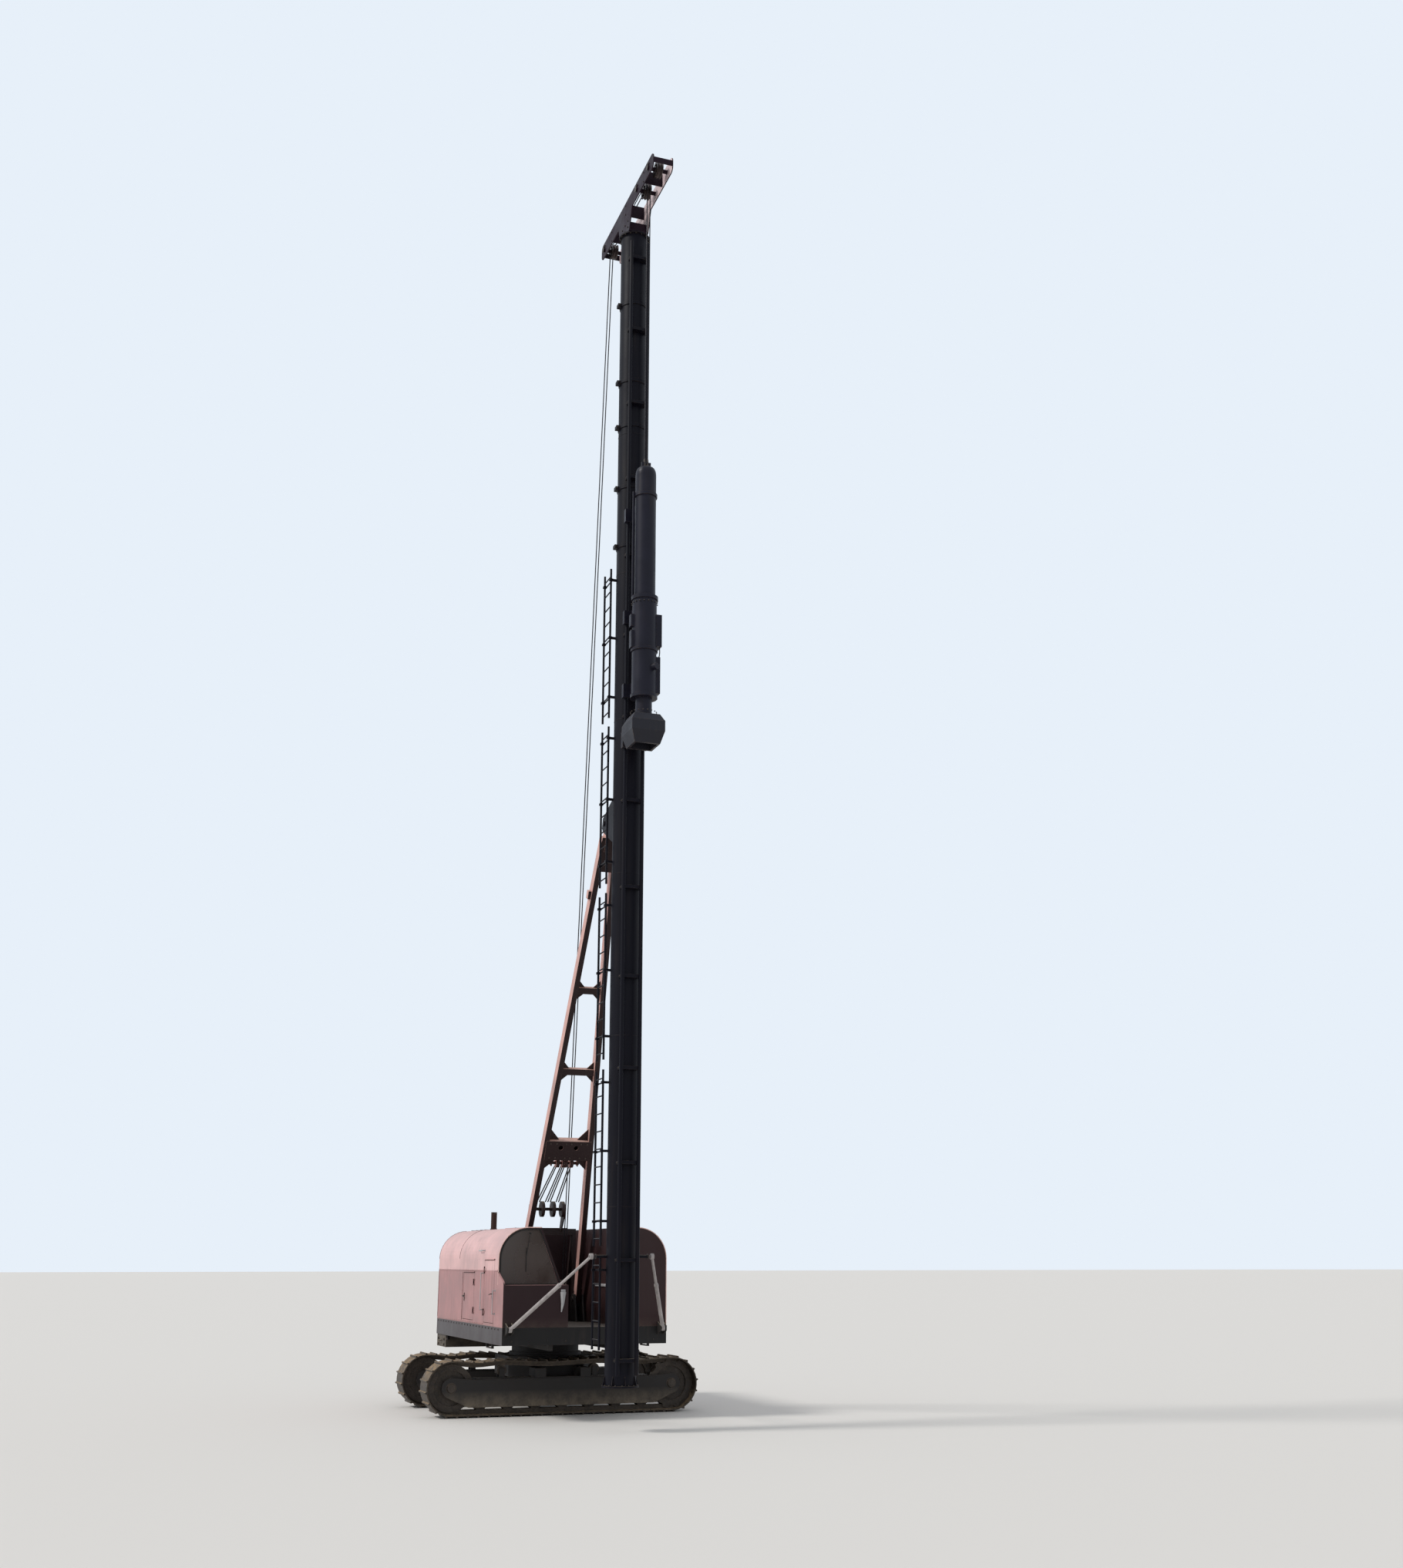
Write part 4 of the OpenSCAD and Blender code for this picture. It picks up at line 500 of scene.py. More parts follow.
print(sum(len(names) for names in worn_by.values()), "of", len(nodes), "parts dressed")

# %% [markdown]
# ## Helpers for small pieces
# Most of what makes an old rig look real is small: bolts, seams, hinges, handles and rope. Each
# helper adds one shape to a bmesh, so that a piece is one mesh made of many bolts or bars. The
# rig's own axes start at the turntable, which stands 1.845 m behind the middle of the whole model.

# %% Places on the rig
TURNTABLE_X = -1.845
roof_top, half_width = 3.31, 1.525
shoulder_y, shoulder_z = 0.975, 2.76
leader_x, sheave_z = 4.85, 23.1675

def spot(x, y, z):
    return Vector((x + TURNTABLE_X, y, z))

print("leader at", [round(v, 3) for v in spot(leader_x, 0, 0)])

# %% Blocks, rods and bolts
def aim(direction):
    return Vector((0, 0, 1)).rotation_difference(Vector(direction).normalized()).to_matrix().to_4x4()

def add_block(bm, centre, size, bevel=0.004, turn=None):
    made = bmesh.ops.create_cube(bm, size=1.0)["verts"]
    bmesh.ops.scale(bm, vec=size, verts=made)
    if bevel:
        rims = list(dict.fromkeys(edge for vert in made for edge in vert.link_edges))
        made = bmesh.ops.bevel(bm, geom=rims, offset=min(bevel, min(size) * 0.4), segments=2, profile=0.5,
                               affect="EDGES", material=-1)["verts"]
        made = list(dict.fromkeys(made))
    place = Matrix.Translation(centre) @ (turn or Matrix())
    bmesh.ops.transform(bm, matrix=place, verts=made)

def add_rod(bm, start, end, radius, segments=12, radius_end=None):
    start, end = Vector(start), Vector(end)
    place = Matrix.Translation((start + end) / 2) @ aim(end - start)
    bmesh.ops.create_cone(bm, cap_ends=True, segments=segments, radius1=radius,
                          radius2=radius if radius_end is None else radius_end,
                          depth=(end - start).length, matrix=place)

def add_bolt(bm, at, axis, radius=0.014, height=0.010):
    axis = Vector(axis).normalized()
    add_rod(bm, at, Vector(at) + axis * height * 0.25, radius * 1.35, 12)
    add_rod(bm, Vector(at) + axis * height * 0.25, Vector(at) + axis * height, radius, 6)

def add_turned(bm, profile, centre, axis, steps=32):
    shape = bmesh.new()
    verts = [shape.verts.new((r, 0, h)) for r, h in profile]
    rims = [shape.edges.new(pair) for pair in zip(verts, verts[1:])]
    bmesh.ops.spin(shape, geom=verts + rims, cent=(0, 0, 0), axis=(0, 0, 1), angle=math.tau, steps=steps,
                   use_merge=True, use_duplicate=False)
    bmesh.ops.remove_doubles(shape, verts=shape.verts, dist=0.00001)
    bmesh.ops.transform(shape, matrix=Matrix.Translation(centre) @ aim(axis), verts=shape.verts)
    turned = bpy.data.meshes.new("turned")
    shape.to_mesh(turned)
    shape.free()
    bm.from_mesh(turned)
    bpy.data.meshes.remove(turned)

def add_pipe(bm, points, radius, closed=False, bend=0):
    curve = bpy.data.curves.new("pipe", "CURVE")
    curve.dimensions, curve.bevel_depth, curve.bevel_resolution, curve.use_fill_caps = "3D", radius, 2, True
    spline = curve.splines.new("NURBS" if bend else "POLY")
    spline.points.add(len(points) - 1)
    for place, point in zip(spline.points, points):
        place.co = tuple(point) + (1.0,)
    if bend:
        spline.order_u, spline.use_endpoint_u, spline.resolution_u = min(bend, len(points)), True, 6
    spline.use_cyclic_u = closed
    holder = bpy.data.objects.new("pipe", curve)
    bm.from_mesh(holder.to_mesh())
    holder.to_mesh_clear()
    bpy.data.objects.remove(holder)
    bpy.data.curves.remove(curve)

def finish_piece(name, bm, skin, body, sharp=0.6):
    bmesh.ops.remove_doubles(bm, verts=bm.verts, dist=0.00002)
    bmesh.ops.recalc_face_normals(bm, faces=bm.faces)
    mesh = bpy.data.meshes.new(name)
    bm.to_mesh(mesh)
    bm.free()
    mesh.materials.append(skins[skin])
    mesh.shade_smooth()
    mesh.set_sharp_from_angle(angle=sharp)
    piece = bpy.data.objects.new(name, mesh)
    scene.collection.objects.link(piece)
    if body:
        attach(piece, body)
    print(f"{name}: {len(mesh.polygons)} faces on {body or 'two bodies'}")
    return piece

# %% [markdown]
# ## The ropes
# Two falls of wire rope carry the hammer. They run over the middle sheave, along the head, over the
# rear sheave and down to the winch behind the boom. A rope is a thin tube whose UV map runs round
# and along it, so that the strands can follow it. A fall that two bodies share is left unattached,
# with its place baked in.

# %% A length of rope
ROPE_R = 0.011

def rope(name, points, body, radius=ROPE_R, sides=8):
    bm = bmesh.new()
    uv = bm.loops.layers.uv.new("UVMap")
    rings, run = [], 0.0
    for i, point in enumerate(points):
        ahead = points[min(i + 1, len(points) - 1)] - points[max(i - 1, 0)]
        place = Matrix.Translation(point) @ aim(ahead)
        capped = i in (0, len(points) - 1)
        ring = bmesh.ops.create_circle(bm, cap_ends=capped, segments=sides, radius=radius, matrix=place)
        rings.append(ring["verts"])
    for i, (lower, upper) in enumerate(zip(rings, rings[1:])):
        step = (points[i + 1] - points[i]).length
        for k in range(sides):
            nxt = (k + 1) % sides
            face = bm.faces.new((lower[k], lower[nxt], upper[nxt], upper[k]))
            corners = ((k, run), (k + 1, run), (k + 1, run + step), (k, run + step))
            for loop, (u, v) in zip(face.loops, corners):
                loop[uv].uv = (u / sides, v)
        run += step
    return finish_piece(name, bm, "dark_rope", body, sharp=1.2)

def straight(start, end, count):
    return [start.lerp(end, i / count) for i in range(count + 1)]

def arc_over(centre, radius, from_deg, to_deg, y, count=10):
    angles = [math.radians(from_deg + (to_deg - from_deg) * i / count) for i in range(count + 1)]
    return [centre + Vector((radius * math.cos(a), y, radius * math.sin(a))) for a in angles]

# %% Hang the hammer and lead the rope back
PITCH_R = 0.149
middle, rear = spot(5.602, 0, sheave_z), spot(3.40, 0, sheave_z)
hammer_eye_z = 17.15
for side, y in (("right", -0.03), ("left", 0.03)):
    top = middle + Vector((PITCH_R, y, 0))
    fall_end = Vector((top.x, y, hammer_eye_z))
    fall = rope(f"hammer_fall_{side}", straight(fall_end, top, 24), None)
    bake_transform(fall)
    over_sheaves = arc_over(middle, PITCH_R, 0, 90, y) + arc_over(rear, PITCH_R, 90, 180, y)
    rope(f"head_rope_{side}", over_sheaves, "leader")
    low = spot(-0.30, 0.415 + y * 0.8, 2.08)
    back_top = rear + Vector((-PITCH_R, y, 0))
    back = rope(f"winch_line_{side}", straight(low, back_top, 40), None)
    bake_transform(back)

# %% [markdown]
# ## Winch drums
# The drums hold their rope in close turns. The winding is a ribbed band, turned on the drum's own
# axis. Every rib is one turn of rope, with a half-round outline.

# %% Wind the drums
def winding(name, y_from, y_to, body, barrel=0.166):
    turns = int(abs(y_to - y_from) / (2.1 * ROPE_R))
    pitch = abs(y_to - y_from) / turns
    profile = [(barrel, 0)]
    for k in range(turns):
        for a in (0, 45, 90, 135):
            profile.append((barrel + 0.018 + ROPE_R * math.sin(math.radians(a)),
                            (k + 0.5 - 0.5 * math.cos(math.radians(a))) * pitch))
    profile += [(barrel + 0.018, turns * pitch), (barrel, turns * pitch), (barrel, 0)]
    bm = bmesh.new()
    add_turned(bm, profile, spot(-0.48, min(y_from, y_to), 2.06), (0, 1, 0), steps=40)
    finish_piece(name, bm, "rope_coil", body, sharp=1.4)

winding("rope_on_drum_right", -0.05, -0.325, "drum_right")
winding("rope_on_drum_left", 0.05, 0.325, "drum_left")

# %% [markdown]
# ## Seams and trim on the house
# The house is made of sheets with a seam half way up, strips over the joints in the roof and a
# gutter over the doors. Without them the sides look like card. Each strip is a thin bevelled bar
# that stands out a few millimetres from the sheet, with a row of rivets.

# %% Seam strips and rivets
def add_rivet(bm, side, x, z):
    at = spot(x, side * (half_width + 0.005), z)
    add_rod(bm, at, at + Vector((0, side * 0.005, 0)), 0.0075, 6, 0.004)

def side_strip(bm, side, x0, x1, z, height=0.034, rivets=0.11):
    add_block(bm, spot((x0 + x1) / 2, side * (half_width + 0.002), z), (x1 - x0, 0.008, height), 0.002)
    for k in range(int((x1 - x0) / rivets)):
        add_rivet(bm, side, x0 + rivets * (k + 0.5), z)

def post_strip(bm, side, x, z0, z1, width=0.030, rivets=0.12):
    add_block(bm, spot(x, side * (half_width + 0.002), (z0 + z1) / 2), (width, 0.008, z1 - z0), 0.002)
    for k in range(int((z1 - z0) / rivets)):
        add_rivet(bm, side, x, z0 + rivets * (k + 0.5))

bm = bmesh.new()
for side, cuts in ((-1, ((-2.93, 1.24), (2.04, 2.29))), (1, ((-2.93, 2.70),))):
    for x0, x1 in cuts:
        side_strip(bm, side, x0, x1, SEAM_Z)
for x in (-2.92, -0.62):
    post_strip(bm, -1, x, 1.62, 2.53)
for x in (-2.92, -1.38, -0.30, 0.95, 2.70):
    post_strip(bm, 1, x, 1.62, 2.53)
for side, x1 in ((-1, 1.22), (1, 2.70)):
    side_strip(bm, side, -2.93, x1, 1.605, 0.024, 0.2)
finish_piece("house_seams", bm, "house_pink", "upper")

# %% Roof joints and gutters
def shoulder(side, x, radius, count=10):
    angles = [math.radians(90 * i / count) for i in range(count + 1)]
    return [spot(x, side * (shoulder_y + radius * math.sin(a)), shoulder_z + radius * math.cos(a))
            for a in angles]

bm = bmesh.new()
for x in (-2.935, -0.965):
    for side in (-1, 1):
        add_pipe(bm, shoulder(side, x, 0.551), 0.006)
for x in (0.9, 2.68):
    add_pipe(bm, shoulder(1, x, 0.551), 0.006)
for x0, x1 in ((-0.56, 0.44), (1.20, 2.07)):
    z = 2.745 if x0 > 0 else 2.515
    add_block(bm, spot((x0 + x1) / 2, -half_width - 0.012, z), (x1 - x0, 0.028, 0.012), 0.003)
add_block(bm, spot(-1.95, half_width + 0.012, 2.515), (1.0, 0.028, 0.012), 0.003)
for x in (-2.6, -2.2, -1.8, -1.4):
    add_block(bm, spot(x, 0, 3.318), (0.03, 1.9, 0.012), 0.003)
finish_piece("roof_joints", bm, "house_pink", "upper")

# %% [markdown]
# ## Door furniture
# Each door has a lever handle on a plate, and the cab has grab rails beside and above its door. A
# handle is a short spindle with a bent bar, so it's made from rods and a bevelled plate. It rides
# on its door, and swings with it.

# %% Handles and grab rails
def lever_handle(name, x, side, z, body, reach):
    bm = bmesh.new()
    y = side * half_width
    add_block(bm, spot(x, y + side * 0.004, z), (0.045, 0.010, 0.15), 0.004)
    add_rod(bm, spot(x, y, z + 0.02), spot(x, y + side * 0.045, z + 0.02), 0.009)
    add_pipe(bm, [spot(x, y + side * 0.045, z + 0.02), spot(x + reach * 0.4, y + side * 0.048, z + 0.018),
                  spot(x + reach, y + side * 0.042, z + 0.004)], 0.008, bend=3)
    for dz in (-0.055, 0.058):
        add_bolt(bm, spot(x, y + side * 0.008, z + dz), (0, side, 0), 0.006, 0.004)
    finish_piece(name, bm, "bolt_steel", body)

lever_handle("cab_door_handle", 1.94, -1, 2.12, "cab_door", -0.11)
lever_handle("side_door_handle_right", -0.43, -1, 2.05, "side_door_right", 0.11)
lever_handle("side_door_handle_left", -2.31, 1, 2.05, "side_door_left", 0.11)

def grab_rail(bm, foot, head, outward, radius=0.011):
    out = Vector(outward)
    add_pipe(bm, [foot, foot + out, head + out, head], radius)
    for end in (foot, head):
        add_bolt(bm, end, out, 0.016, 0.008)

bm = bmesh.new()
wall_y = -half_width
grab_rail(bm, spot(1.17, wall_y, 1.85), spot(1.17, wall_y, 2.50), (0, -0.05, 0))
grab_rail(bm, spot(2.14, wall_y, 1.80), spot(2.14, wall_y, 2.20), (0, -0.05, 0))
grab_rail(bm, spot(0.85, wall_y + 0.02, 2.90), spot(1.15, wall_y + 0.02, 2.90), (0, -0.05, 0.0))
finish_piece("grab_rails", bm, "pale_pipe", "upper")

# %% [markdown]
# ## The windscreen's gasket and the front edge of the roof
# A rubber gasket holds the glass, and a rolled edge of the sheet runs in front of the roof's round
# shoulder, a paler pink as a painted highlight of the light it catches. Both are thin tubes along
# the front outline. The wiper hangs from the top of the glass.

# %% Gasket, rolled edge and wiper
SCREEN_X = 2.30

def front_line(inset):
    reach, sill_z = 0.55 - inset, 2.30 + inset * 0.4
    angles = [math.radians(a) for a in range(0, 91, 9)]
    line = [(-(half_width - inset), sill_z)]
    line += [(-(shoulder_y + reach * math.cos(a)), shoulder_z + reach * math.sin(a)) for a in angles]
    line += [(-0.73 - inset * 0.9, roof_top - inset), (-0.33 - inset, sill_z)]
    return line

bm = bmesh.new()
add_pipe(bm, [spot(SCREEN_X + 0.001, y, z) for y, z in front_line(0.040)], 0.011, closed=True)
finish_piece("windscreen_gasket", bm, "black_rubber", "upper")
# The rolled edge is a paler pink, a painted highlight along the front outline.
bm = bmesh.new()
edge_line = front_line(0.006)
add_pipe(bm, [spot(SCREEN_X + 0.004, y, z) for y, z in edge_line[:-1]], 0.009)
left_line = [(half_width - 0.006, 1.62)] + [(-y, z) for y, z in edge_line[1:-2]] + [(0.79, roof_top - 0.006)]
add_pipe(bm, [spot(2.752, y, z) for y, z in left_line], 0.008)
finish_piece("front_rolled_edge", bm, "highlight_pink_edge", "upper")
bm = bmesh.new()
add_rod(bm, spot(2.292, -0.95, 3.20), spot(2.330, -0.95, 3.20), 0.014)
add_pipe(bm, [spot(2.326, -0.95, 3.20), spot(2.322, -0.99, 2.95), spot(2.306, -1.01, 2.80)], 0.005)
add_block(bm, spot(2.300, -1.01, 2.74), (0.012, 0.010, 0.42), 0.003)
finish_piece("wiper", bm, "black_rubber", "upper")

# %% [markdown]
# ## The operator's place
# The cab is hollow and has a seat, a row of levers, two pedals and a small console. The CAD seat is
# a block, so it's replaced by a pedestal with two crowned cushions. A cushion is a subdivided
# block whose middle is pushed out and whose sides pull in between the corners.

# %% Cushions and pedestal
def cushion(name, centre, size, crown, turn=None):
    bm = bmesh.new()
    bmesh.ops.create_cube(bm, size=1.0)
    bmesh.ops.subdivide_edges(bm, edges=bm.edges, cuts=9, use_grid_fill=True)
    for vert in bm.verts:
        u, v, w = vert.co * 2
        vert.co.z += crown * (1 - u * u) * (1 - v * v) * (1 if w > 0 else -0.25) * abs(w)
        vert.co.x *= 1 - 0.035 * (1 - v * v)
        vert.co.y *= 1 - 0.035 * (1 - u * u)
        if abs(w) < 0.9:
            vert.co.x *= 1 + 0.02 * (1 - w * w)
            vert.co.y *= 1 + 0.02 * (1 - w * w)
    bmesh.ops.scale(bm, vec=size, verts=bm.verts)
    rims = [e for e in bm.edges if e.calc_face_angle(0) > 1.0]
    bmesh.ops.bevel(bm, geom=rims, offset=0.012, segments=3, profile=0.5, affect="EDGES", material=-1)
    bmesh.ops.transform(bm, matrix=Matrix.Translation(centre) @ (turn or Matrix()), verts=bm.verts)
    piece = finish_piece(name, bm, "seat_cover", "upper", sharp=1.2)
    return piece

bm = bmesh.new()
add_block(bm, spot(1.20, -1.13, 1.60), (0.36, 0.34, 0.04), 0.006)
add_block(bm, spot(1.20, -1.13, 1.78), (0.22, 0.22, 0.34), 0.015)
add_block(bm, spot(1.20, -1.13, 1.965), (0.40, 0.38, 0.03), 0.006)
for y in (-1.27, -0.99):
    add_pipe(bm, [spot(1.02, y, 1.97), spot(0.985, y, 2.05), spot(0.975, y, 2.50)], 0.013)
pedestal = finish_piece("seat_pedestal", bm, "frame_black", "upper")
seat = cushion("seat_cushion", spot(1.20, -1.13, 2.045), (0.42, 0.42, 0.11), 0.14)
upright = Matrix.Rotation(math.radians(86), 4, "Y")
back_rest = cushion("back_cushion", spot(1.02, -1.13, 2.36), (0.46, 0.42, 0.10), 0.12, upright)
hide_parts("operator_seat")
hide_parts("operator_seat")
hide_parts("operator_seat")

# %% Levers, pedals and console
bm = bmesh.new()
for k in range(5):
    foot = spot(1.90, -1.42 + 0.15 * k, 1.60)
    add_rod(bm, foot, foot + Vector((-0.06, 0, 0.62)), 0.010)
    knob = Matrix.Translation(foot + Vector((-0.062, 0, 0.64)))
    bmesh.ops.create_icosphere(bm, subdivisions=2, radius=0.026, matrix=knob)
add_block(bm, spot(1.90, -1.12, 1.64), (0.14, 0.80, 0.10), 0.012)
pedal_lean = Matrix.Rotation(math.radians(-25), 4, "Y")
for y in (-1.25, -1.00):
    add_rod(bm, spot(2.16, y, 1.60), spot(2.10, y, 1.76), 0.011)
    add_block(bm, spot(2.09, y, 1.78), (0.02, 0.09, 0.12), 0.006, pedal_lean)
add_block(bm, spot(2.14, -0.58, 1.94), (0.26, 0.26, 0.70), 0.02)
for y in (-0.66, -0.58, -0.50):
    dial = spot(2.02, y, 2.20)
    add_rod(bm, dial, dial + Vector((-0.02, 0, 0)), 0.032, 24)
finish_piece("cab_controls", bm, "frame_black", "upper")

# %% [markdown]
# ## Deck, bay and rear
# Steps and rows of bolts break up the plain deck, and the counterweight has lifting eyes. The bar
# on the left wing's inner wall and the hook at the front are painted pale, a painted highlight of
# the light they catch in the bay, whose walls carry a dark painted shade.

# %% Deck and bay fittings
STEP_Y = 1.475
bm = bmesh.new()
for x in (-2.2, 1.65):
    for side in (-1, 1):
        add_block(bm, spot(x, side * STEP_Y, 1.20), (0.42, 0.05, 0.012), 0.003)
        for dx in (-0.20, 0.20):
            add_block(bm, spot(x + dx, side * STEP_Y, 1.245), (0.012, 0.05, 0.10), 0.003)
        for k in range(6):
            add_block(bm, spot(x - 0.17 + 0.068 * k, side * STEP_Y, 1.210), (0.012, 0.046, 0.010), 0.002)
for side in (-1, 1):
    for k in range(22):
        add_bolt(bm, spot(-2.80 + 0.25 * k, side * half_width, 1.545), (0, side, 0), 0.013, 0.010)
for k in range(9):
    add_bolt(bm, spot(2.75, -1.35 + 0.33 * k, 1.35), (1, 0, 0), 0.014, 0.012)
finish_piece("deck_fittings", bm, "deck_grey", "upper")
# Painted highlight: the bar and hook are pale where they catch the light.
bm = bmesh.new()
add_block(bm, spot(1.75, 0.748, 2.275), (1.85, 0.022, 0.05), 0.004)
add_rod(bm, spot(2.765, -0.43, 2.18), spot(2.775, -0.44, 1.98), 0.052, 16, 0.028)
add_rod(bm, spot(2.775, -0.44, 1.98), spot(2.770, -0.46, 1.84), 0.028, 16, 0.008)
add_block(bm, spot(2.762, -0.43, 2.20), (0.02, 0.08, 0.05), 0.004)
finish_piece("bay_bar_and_hook", bm, "pale_pipe", "upper")

# %% Counterweight, gantry and exhaust
GANTRY_TOP_X, GANTRY_TOP_Z = -0.08, 3.70
bm = bmesh.new()
for y in (-1.1, -0.4, 0.4, 1.1):
    for x in (-2.8, -2.25):
        add_bolt(bm, spot(x, math.copysign(1.505, y), 1.10 + 0.1 * (abs(y) < 1)), (0, y, 0), 0.028, 0.022)
for y in (-1.507, 1.507):
    angles = [math.radians(a) for a in range(0, 181, 20)]
    out = math.copysign(0.055, y)
    eye = [spot(-2.52 + 0.06 * math.cos(a), y + out * math.sin(a), 1.165) for a in angles]
    add_pipe(bm, eye, 0.011)
finish_piece("counterweight_fittings", bm, "cast_weight", "upper")
bm = bmesh.new()
for y in (-0.354, 0.354):
    hub = spot(GANTRY_TOP_X, y, GANTRY_TOP_Z)
    add_rod(bm, hub, hub + Vector((0, math.copysign(0.02, y), 0)), 0.045, 16)
    for a in (math.tau * k / 6 for k in range(6)):
        at = hub + Vector((0.062 * math.cos(a), 0, 0.062 * math.sin(a)))
        add_bolt(bm, at, (0, y, 0), 0.007, 0.006)
for side in (-1, 1):
    for x in (-0.85, -0.165):
        add_block(bm, spot(x, side * 0.61, 1.592), (0.20, 0.14, 0.016), 0.003)
        for dx in (-0.07, 0.07):
            for dy in (-0.05, 0.05):
                add_bolt(bm, spot(x + dx, side * 0.61 + dy, 1.600), (0, 0, 1), 0.010, 0.010)
finish_piece("gantry_fittings", bm, "bolt_steel", "upper")
collar = [(0.060, 0.0), (0.072, 0.0), (0.072, 0.03), (0.060, 0.03)]
bm = bmesh.new()
add_turned(bm, collar, spot(-2.25, -0.56, 3.33), (0, 0, 1), 24)
finish_piece("exhaust_collar", bm, "rusty_steel", "upper")

# %% [markdown]
# ## The leader and its head
# The tube is made of lengths that are welded end to end, so a bead runs round it every few metres.
# Its end flanges and the brackets of the guide rails are bolted. The bolts are small, but they give
# the tall plain tube its scale.

# %% Weld beads and bolts on the leader
band_heights = (15.74, 16.95, 18.25, 19.22, 20.93)
EAR_Y = -0.312

def ring_spots(x, y, z, radius, count, start=0.0):
    return [(spot(x + radius * math.cos(a), y + radius * math.sin(a), z), a)
            for a in (start + math.tau * k / count for k in range(count))]

bm = bmesh.new()
bead = [(0.2645, -0.008), (0.2680, -0.004), (0.2690, 0.0), (0.2680, 0.004), (0.2645, 0.008)]
for z in (3.6, 6.5, 9.4, 12.3, 15.2, 18.1, 21.0):
    add_turned(bm, bead, spot(leader_x, 0, z), (0, 0, 1), 40)
finish_piece("leader_welds", bm, "leader_navy", "leader", sharp=1.2)
bm = bmesh.new()
for z, up in ((0.7297, 1), (22.530, -1)):
    for at, _ in ring_spots(leader_x, 0, z, 0.289, 16, 0.2):
        add_bolt(bm, at, (0, 0, up), 0.011, 0.014)
for k in range(14):
    z = 1.13 + 1.6 * k
    for side in (-1, 1):
        for x in (5.13, 5.08):
            add_bolt(bm, spot(x, side * 0.1825, z), (0, side, 0), 0.010, 0.009)
for z in band_heights:
    ear = spot(leader_x, EAR_Y, z + 0.035)
    add_rod(bm, ear - Vector((0.085, 0, 0)), ear + Vector((0.085, 0, 0)), 0.011, 8)
    for dx in (-0.06, 0.06):
        add_bolt(bm, ear + Vector((dx, 0, 0)), (dx, 0, 0), 0.014, 0.016)
for side in (-1, 1):
    add_block(bm, spot(leader_x, side * 0.462, 2.79), (0.075, 0.012, 0.075), 0.004)
finish_piece("leader_bolts", bm, "bolt_steel", "leader")

# %% Pins and bolts on the head
bm = bmesh.new()
for x in (leader_x + 1.48, leader_x + 0.752, leader_x - 1.45):
    for side in (-1, 1):
        add_rod(bm, spot(x, side * 0.228, sheave_z), spot(x, side * 0.236, sheave_z), 0.058, 20)
        add_block(bm, spot(x, side * 0.214, sheave_z + 0.075), (0.11, 0.016, 0.030), 0.003)
        for dx in (-0.04, 0.04):
            add_bolt(bm, spot(x + dx, side * 0.221, sheave_z + 0.075), (0, side, 0), 0.008, 0.008)
for x in (leader_x - 0.18, leader_x, leader_x + 0.18):
    for z in (22.68, 22.82):
        for side in (-1, 1):
            add_bolt(bm, spot(x, side * 0.206, z), (0, side, 0), 0.015, 0.014)
for x in (leader_x - 0.93, leader_x + 0.03, leader_x + 1.18):
    for side in (-1, 1):
        for z in (23.06, 23.27):
            add_bolt(bm, spot(x, side * 0.206, z), (0, side, 0), 0.012, 0.012)
finish_piece("head_pins", bm, "bolt_steel", "leader")

# %% [markdown]
# ## Boom fittings
# The boom's plates are joined by bolts at the big cross beam, and the pins at its foot and head
# are held by keeper plates. Most of them lie in the boom's own tilted frame, so a helper turns a
# place on the boom into a place on the rig.

# %% Bolts, keepers and brackets on the boom
BOOM_RUN, BOOM_RISE, BOOM_FOOT_Y, BOOM_HEAD_Y = 3.85, 8.60, 0.62, 0.095
BOOM_LEN = math.hypot(BOOM_RUN, BOOM_RISE)
boom_turn = Matrix.Rotation(math.atan2(BOOM_RUN, BOOM_RISE), 4, "Y")

def on_boom(x, y, t):
    return spot(0, 0, 2.0) + boom_turn @ Vector((x, y, t))

bm = bmesh.new()
face_out = boom_turn @ Vector((1, 0, 0))
for y in (-0.36, -0.24, -0.05, 0.05, 0.24, 0.36):
    for t in (2.91, 3.19):
        add_bolt(bm, on_boom(0.110, y, t), face_out, 0.013, 0.012)
        add_bolt(bm, on_boom(-0.110, y, t), -face_out, 0.013, 0.012)
for side in (-1, 1):
    for dy in (-0.1, 0.1):
        add_block(bm, spot(0, side * BOOM_FOOT_Y + dy, 2.0), (0.16, 0.012, 0.035), 0.003)
    add_rod(bm, on_boom(0, side * BOOM_HEAD_Y, BOOM_LEN), on_boom(0, side * 0.112, BOOM_LEN), 0.042, 18)
    add_rod(bm, on_boom(-0.06, side * 0.272, 2.75), on_boom(-0.06, side * 0.290, 2.75), 0.038, 18)
finish_piece("boom_bolts", bm, "bolt_steel", "boom")
bm = bmesh.new()
for t in (4.6, 6.2):
    for side in (-1, 1):
        y = side * (BOOM_FOOT_Y + (BOOM_HEAD_Y - BOOM_FOOT_Y) * t / BOOM_LEN - 0.05)
        for x in (0.058, -0.058):
            add_pipe(bm, [on_boom(x, y, t - 0.055), on_boom(x, y, t + 0.055)], 0.005)
add_block(bm, on_boom(0, -0.235, 8.05), (0.13, 0.09, 0.16), 0.012, boom_turn)
finish_piece("boom_welds_and_bracket", bm, "boom_pink", "boom")

# %% [markdown]
# ## The hammer's fittings
# A diesel hammer has a fuel line from its tank to its pump, rings of bolts and two rope sockets on
# top. The fuel line is a bent tube that stays close to the cylinder.

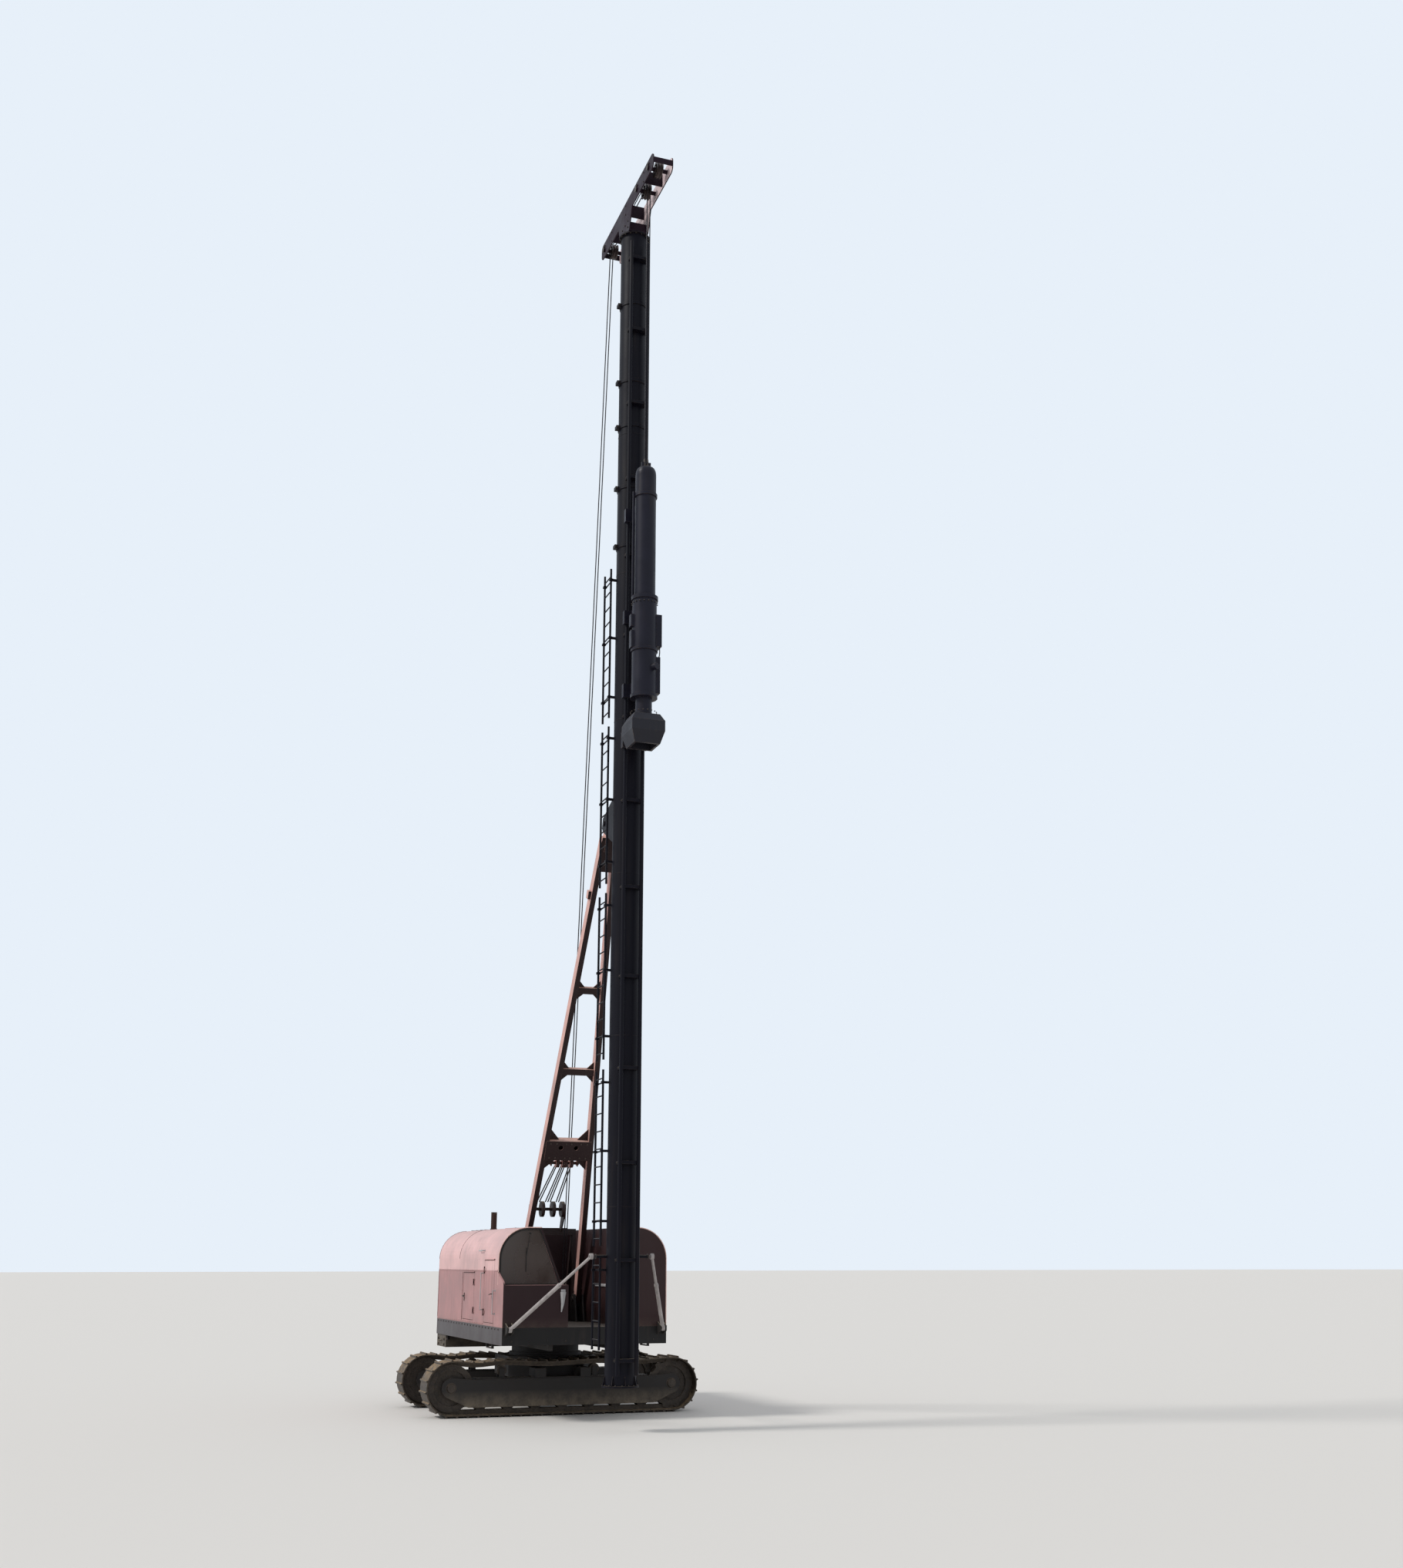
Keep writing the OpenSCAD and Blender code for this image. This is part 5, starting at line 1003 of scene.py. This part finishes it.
# %% Fuel line, collar bolts and rope sockets
hammer_x = leader_x + 0.90
bm = bmesh.new()
for z in (12.20, 14.30):
    for at, a in ring_spots(hammer_x, 0, z, 0.236, 18):
        if abs(math.cos(a) + 1) > 0.35:
            add_bolt(bm, at, (0, 0, 1), 0.010, 0.016)
for z, y in ((13.0, 0.282), (13.6, 0.296), (14.0, 0.296)):
    for dx in (-0.07, 0.07):
        add_bolt(bm, spot(hammer_x + dx, y - 0.004, z), (0, 1, 0), 0.010, 0.008)
finish_piece("hammer_bolts", bm, "bolt_steel", "hammer")
supply = ((0.06, 0.262, 13.50), (0.10, 0.272, 13.42), (0.10, 0.268, 13.34), (0.05, 0.262, 13.26))
leak_off = ((-0.06, 0.262, 13.50), (-0.13, 0.258, 13.38), (-0.06, 0.262, 13.26))
bm = bmesh.new()
for line, radius, bend in ((supply, 0.010, 4), (leak_off, 0.008, 3)):
    add_pipe(bm, [spot(hammer_x + dx, y, z) for dx, y, z in line], radius, bend=bend)
finish_piece("fuel_line", bm, "black_rubber", "hammer")
bm = bmesh.new()
for y in (-0.03, 0.03):
    add_rod(bm, spot(hammer_x + 0.001, y, 17.09), spot(hammer_x + 0.001, y, 17.24), 0.026, 12, 0.015)
finish_piece("rope_sockets", bm, "bolt_steel", "hammer")

# %% Bolts on the drive cap
bm = bmesh.new()
for side in (-1, 1):
    for x in (-0.18, 0.0, 0.18):
        for z in (11.86, 11.94):
            add_bolt(bm, spot(hammer_x + x, side * 0.309, z), (0, side, 0), 0.016, 0.001)
finish_piece("cap_bolts", bm, "bolt_steel", "drive_cap")

# %% [markdown]
# ## Wheels and struts
# Each track has a bolted hub at both ends, and each strut has a gland nut where the thin rod
# leaves the tube. The nut rides on the tube, and the rod slides through it.

# %% Hub bolts and strut glands
HUB_Z = 0.5
for end, x in (("front", 1.38), ("rear", -1.38)):
    bm = bmesh.new()
    out = math.copysign(1, x)
    for y in (-2.1, 2.1):
        add_rod(bm, spot(x - 0.01 * out, y, HUB_Z), spot(x + 0.025 * out, y, HUB_Z), 0.085, 24, 0.07)
        for a in (math.tau * k / 8 for k in range(8)):
            at = spot(x - 0.002 * out, y + 0.065 * math.cos(a), HUB_Z + 0.065 * math.sin(a))
            add_bolt(bm, at, (out, 0, 0), 0.009, 0.022)
    finish_piece(f"hub_bolts_{end}", bm, "wheel_mud", "undercarriage")
gland = [(0.0245, -0.05), (0.039, -0.05), (0.040, -0.02), (0.038, 0.0), (0.030, 0.012), (0.0245, 0.012),
         (0.0245, -0.05)]
for name, side in (("right", -1), ("left", 1)):
    low, high = spot(2.88, side * 1.415, 1.55), spot(4.85, side * 0.54, 2.79)
    bm = bmesh.new()
    add_turned(bm, gland, low.lerp(high, 0.62), high - low, 24)
    finish_piece(f"strut_gland_{name}", bm, "strut_grey", f"strut_tube_{name}")
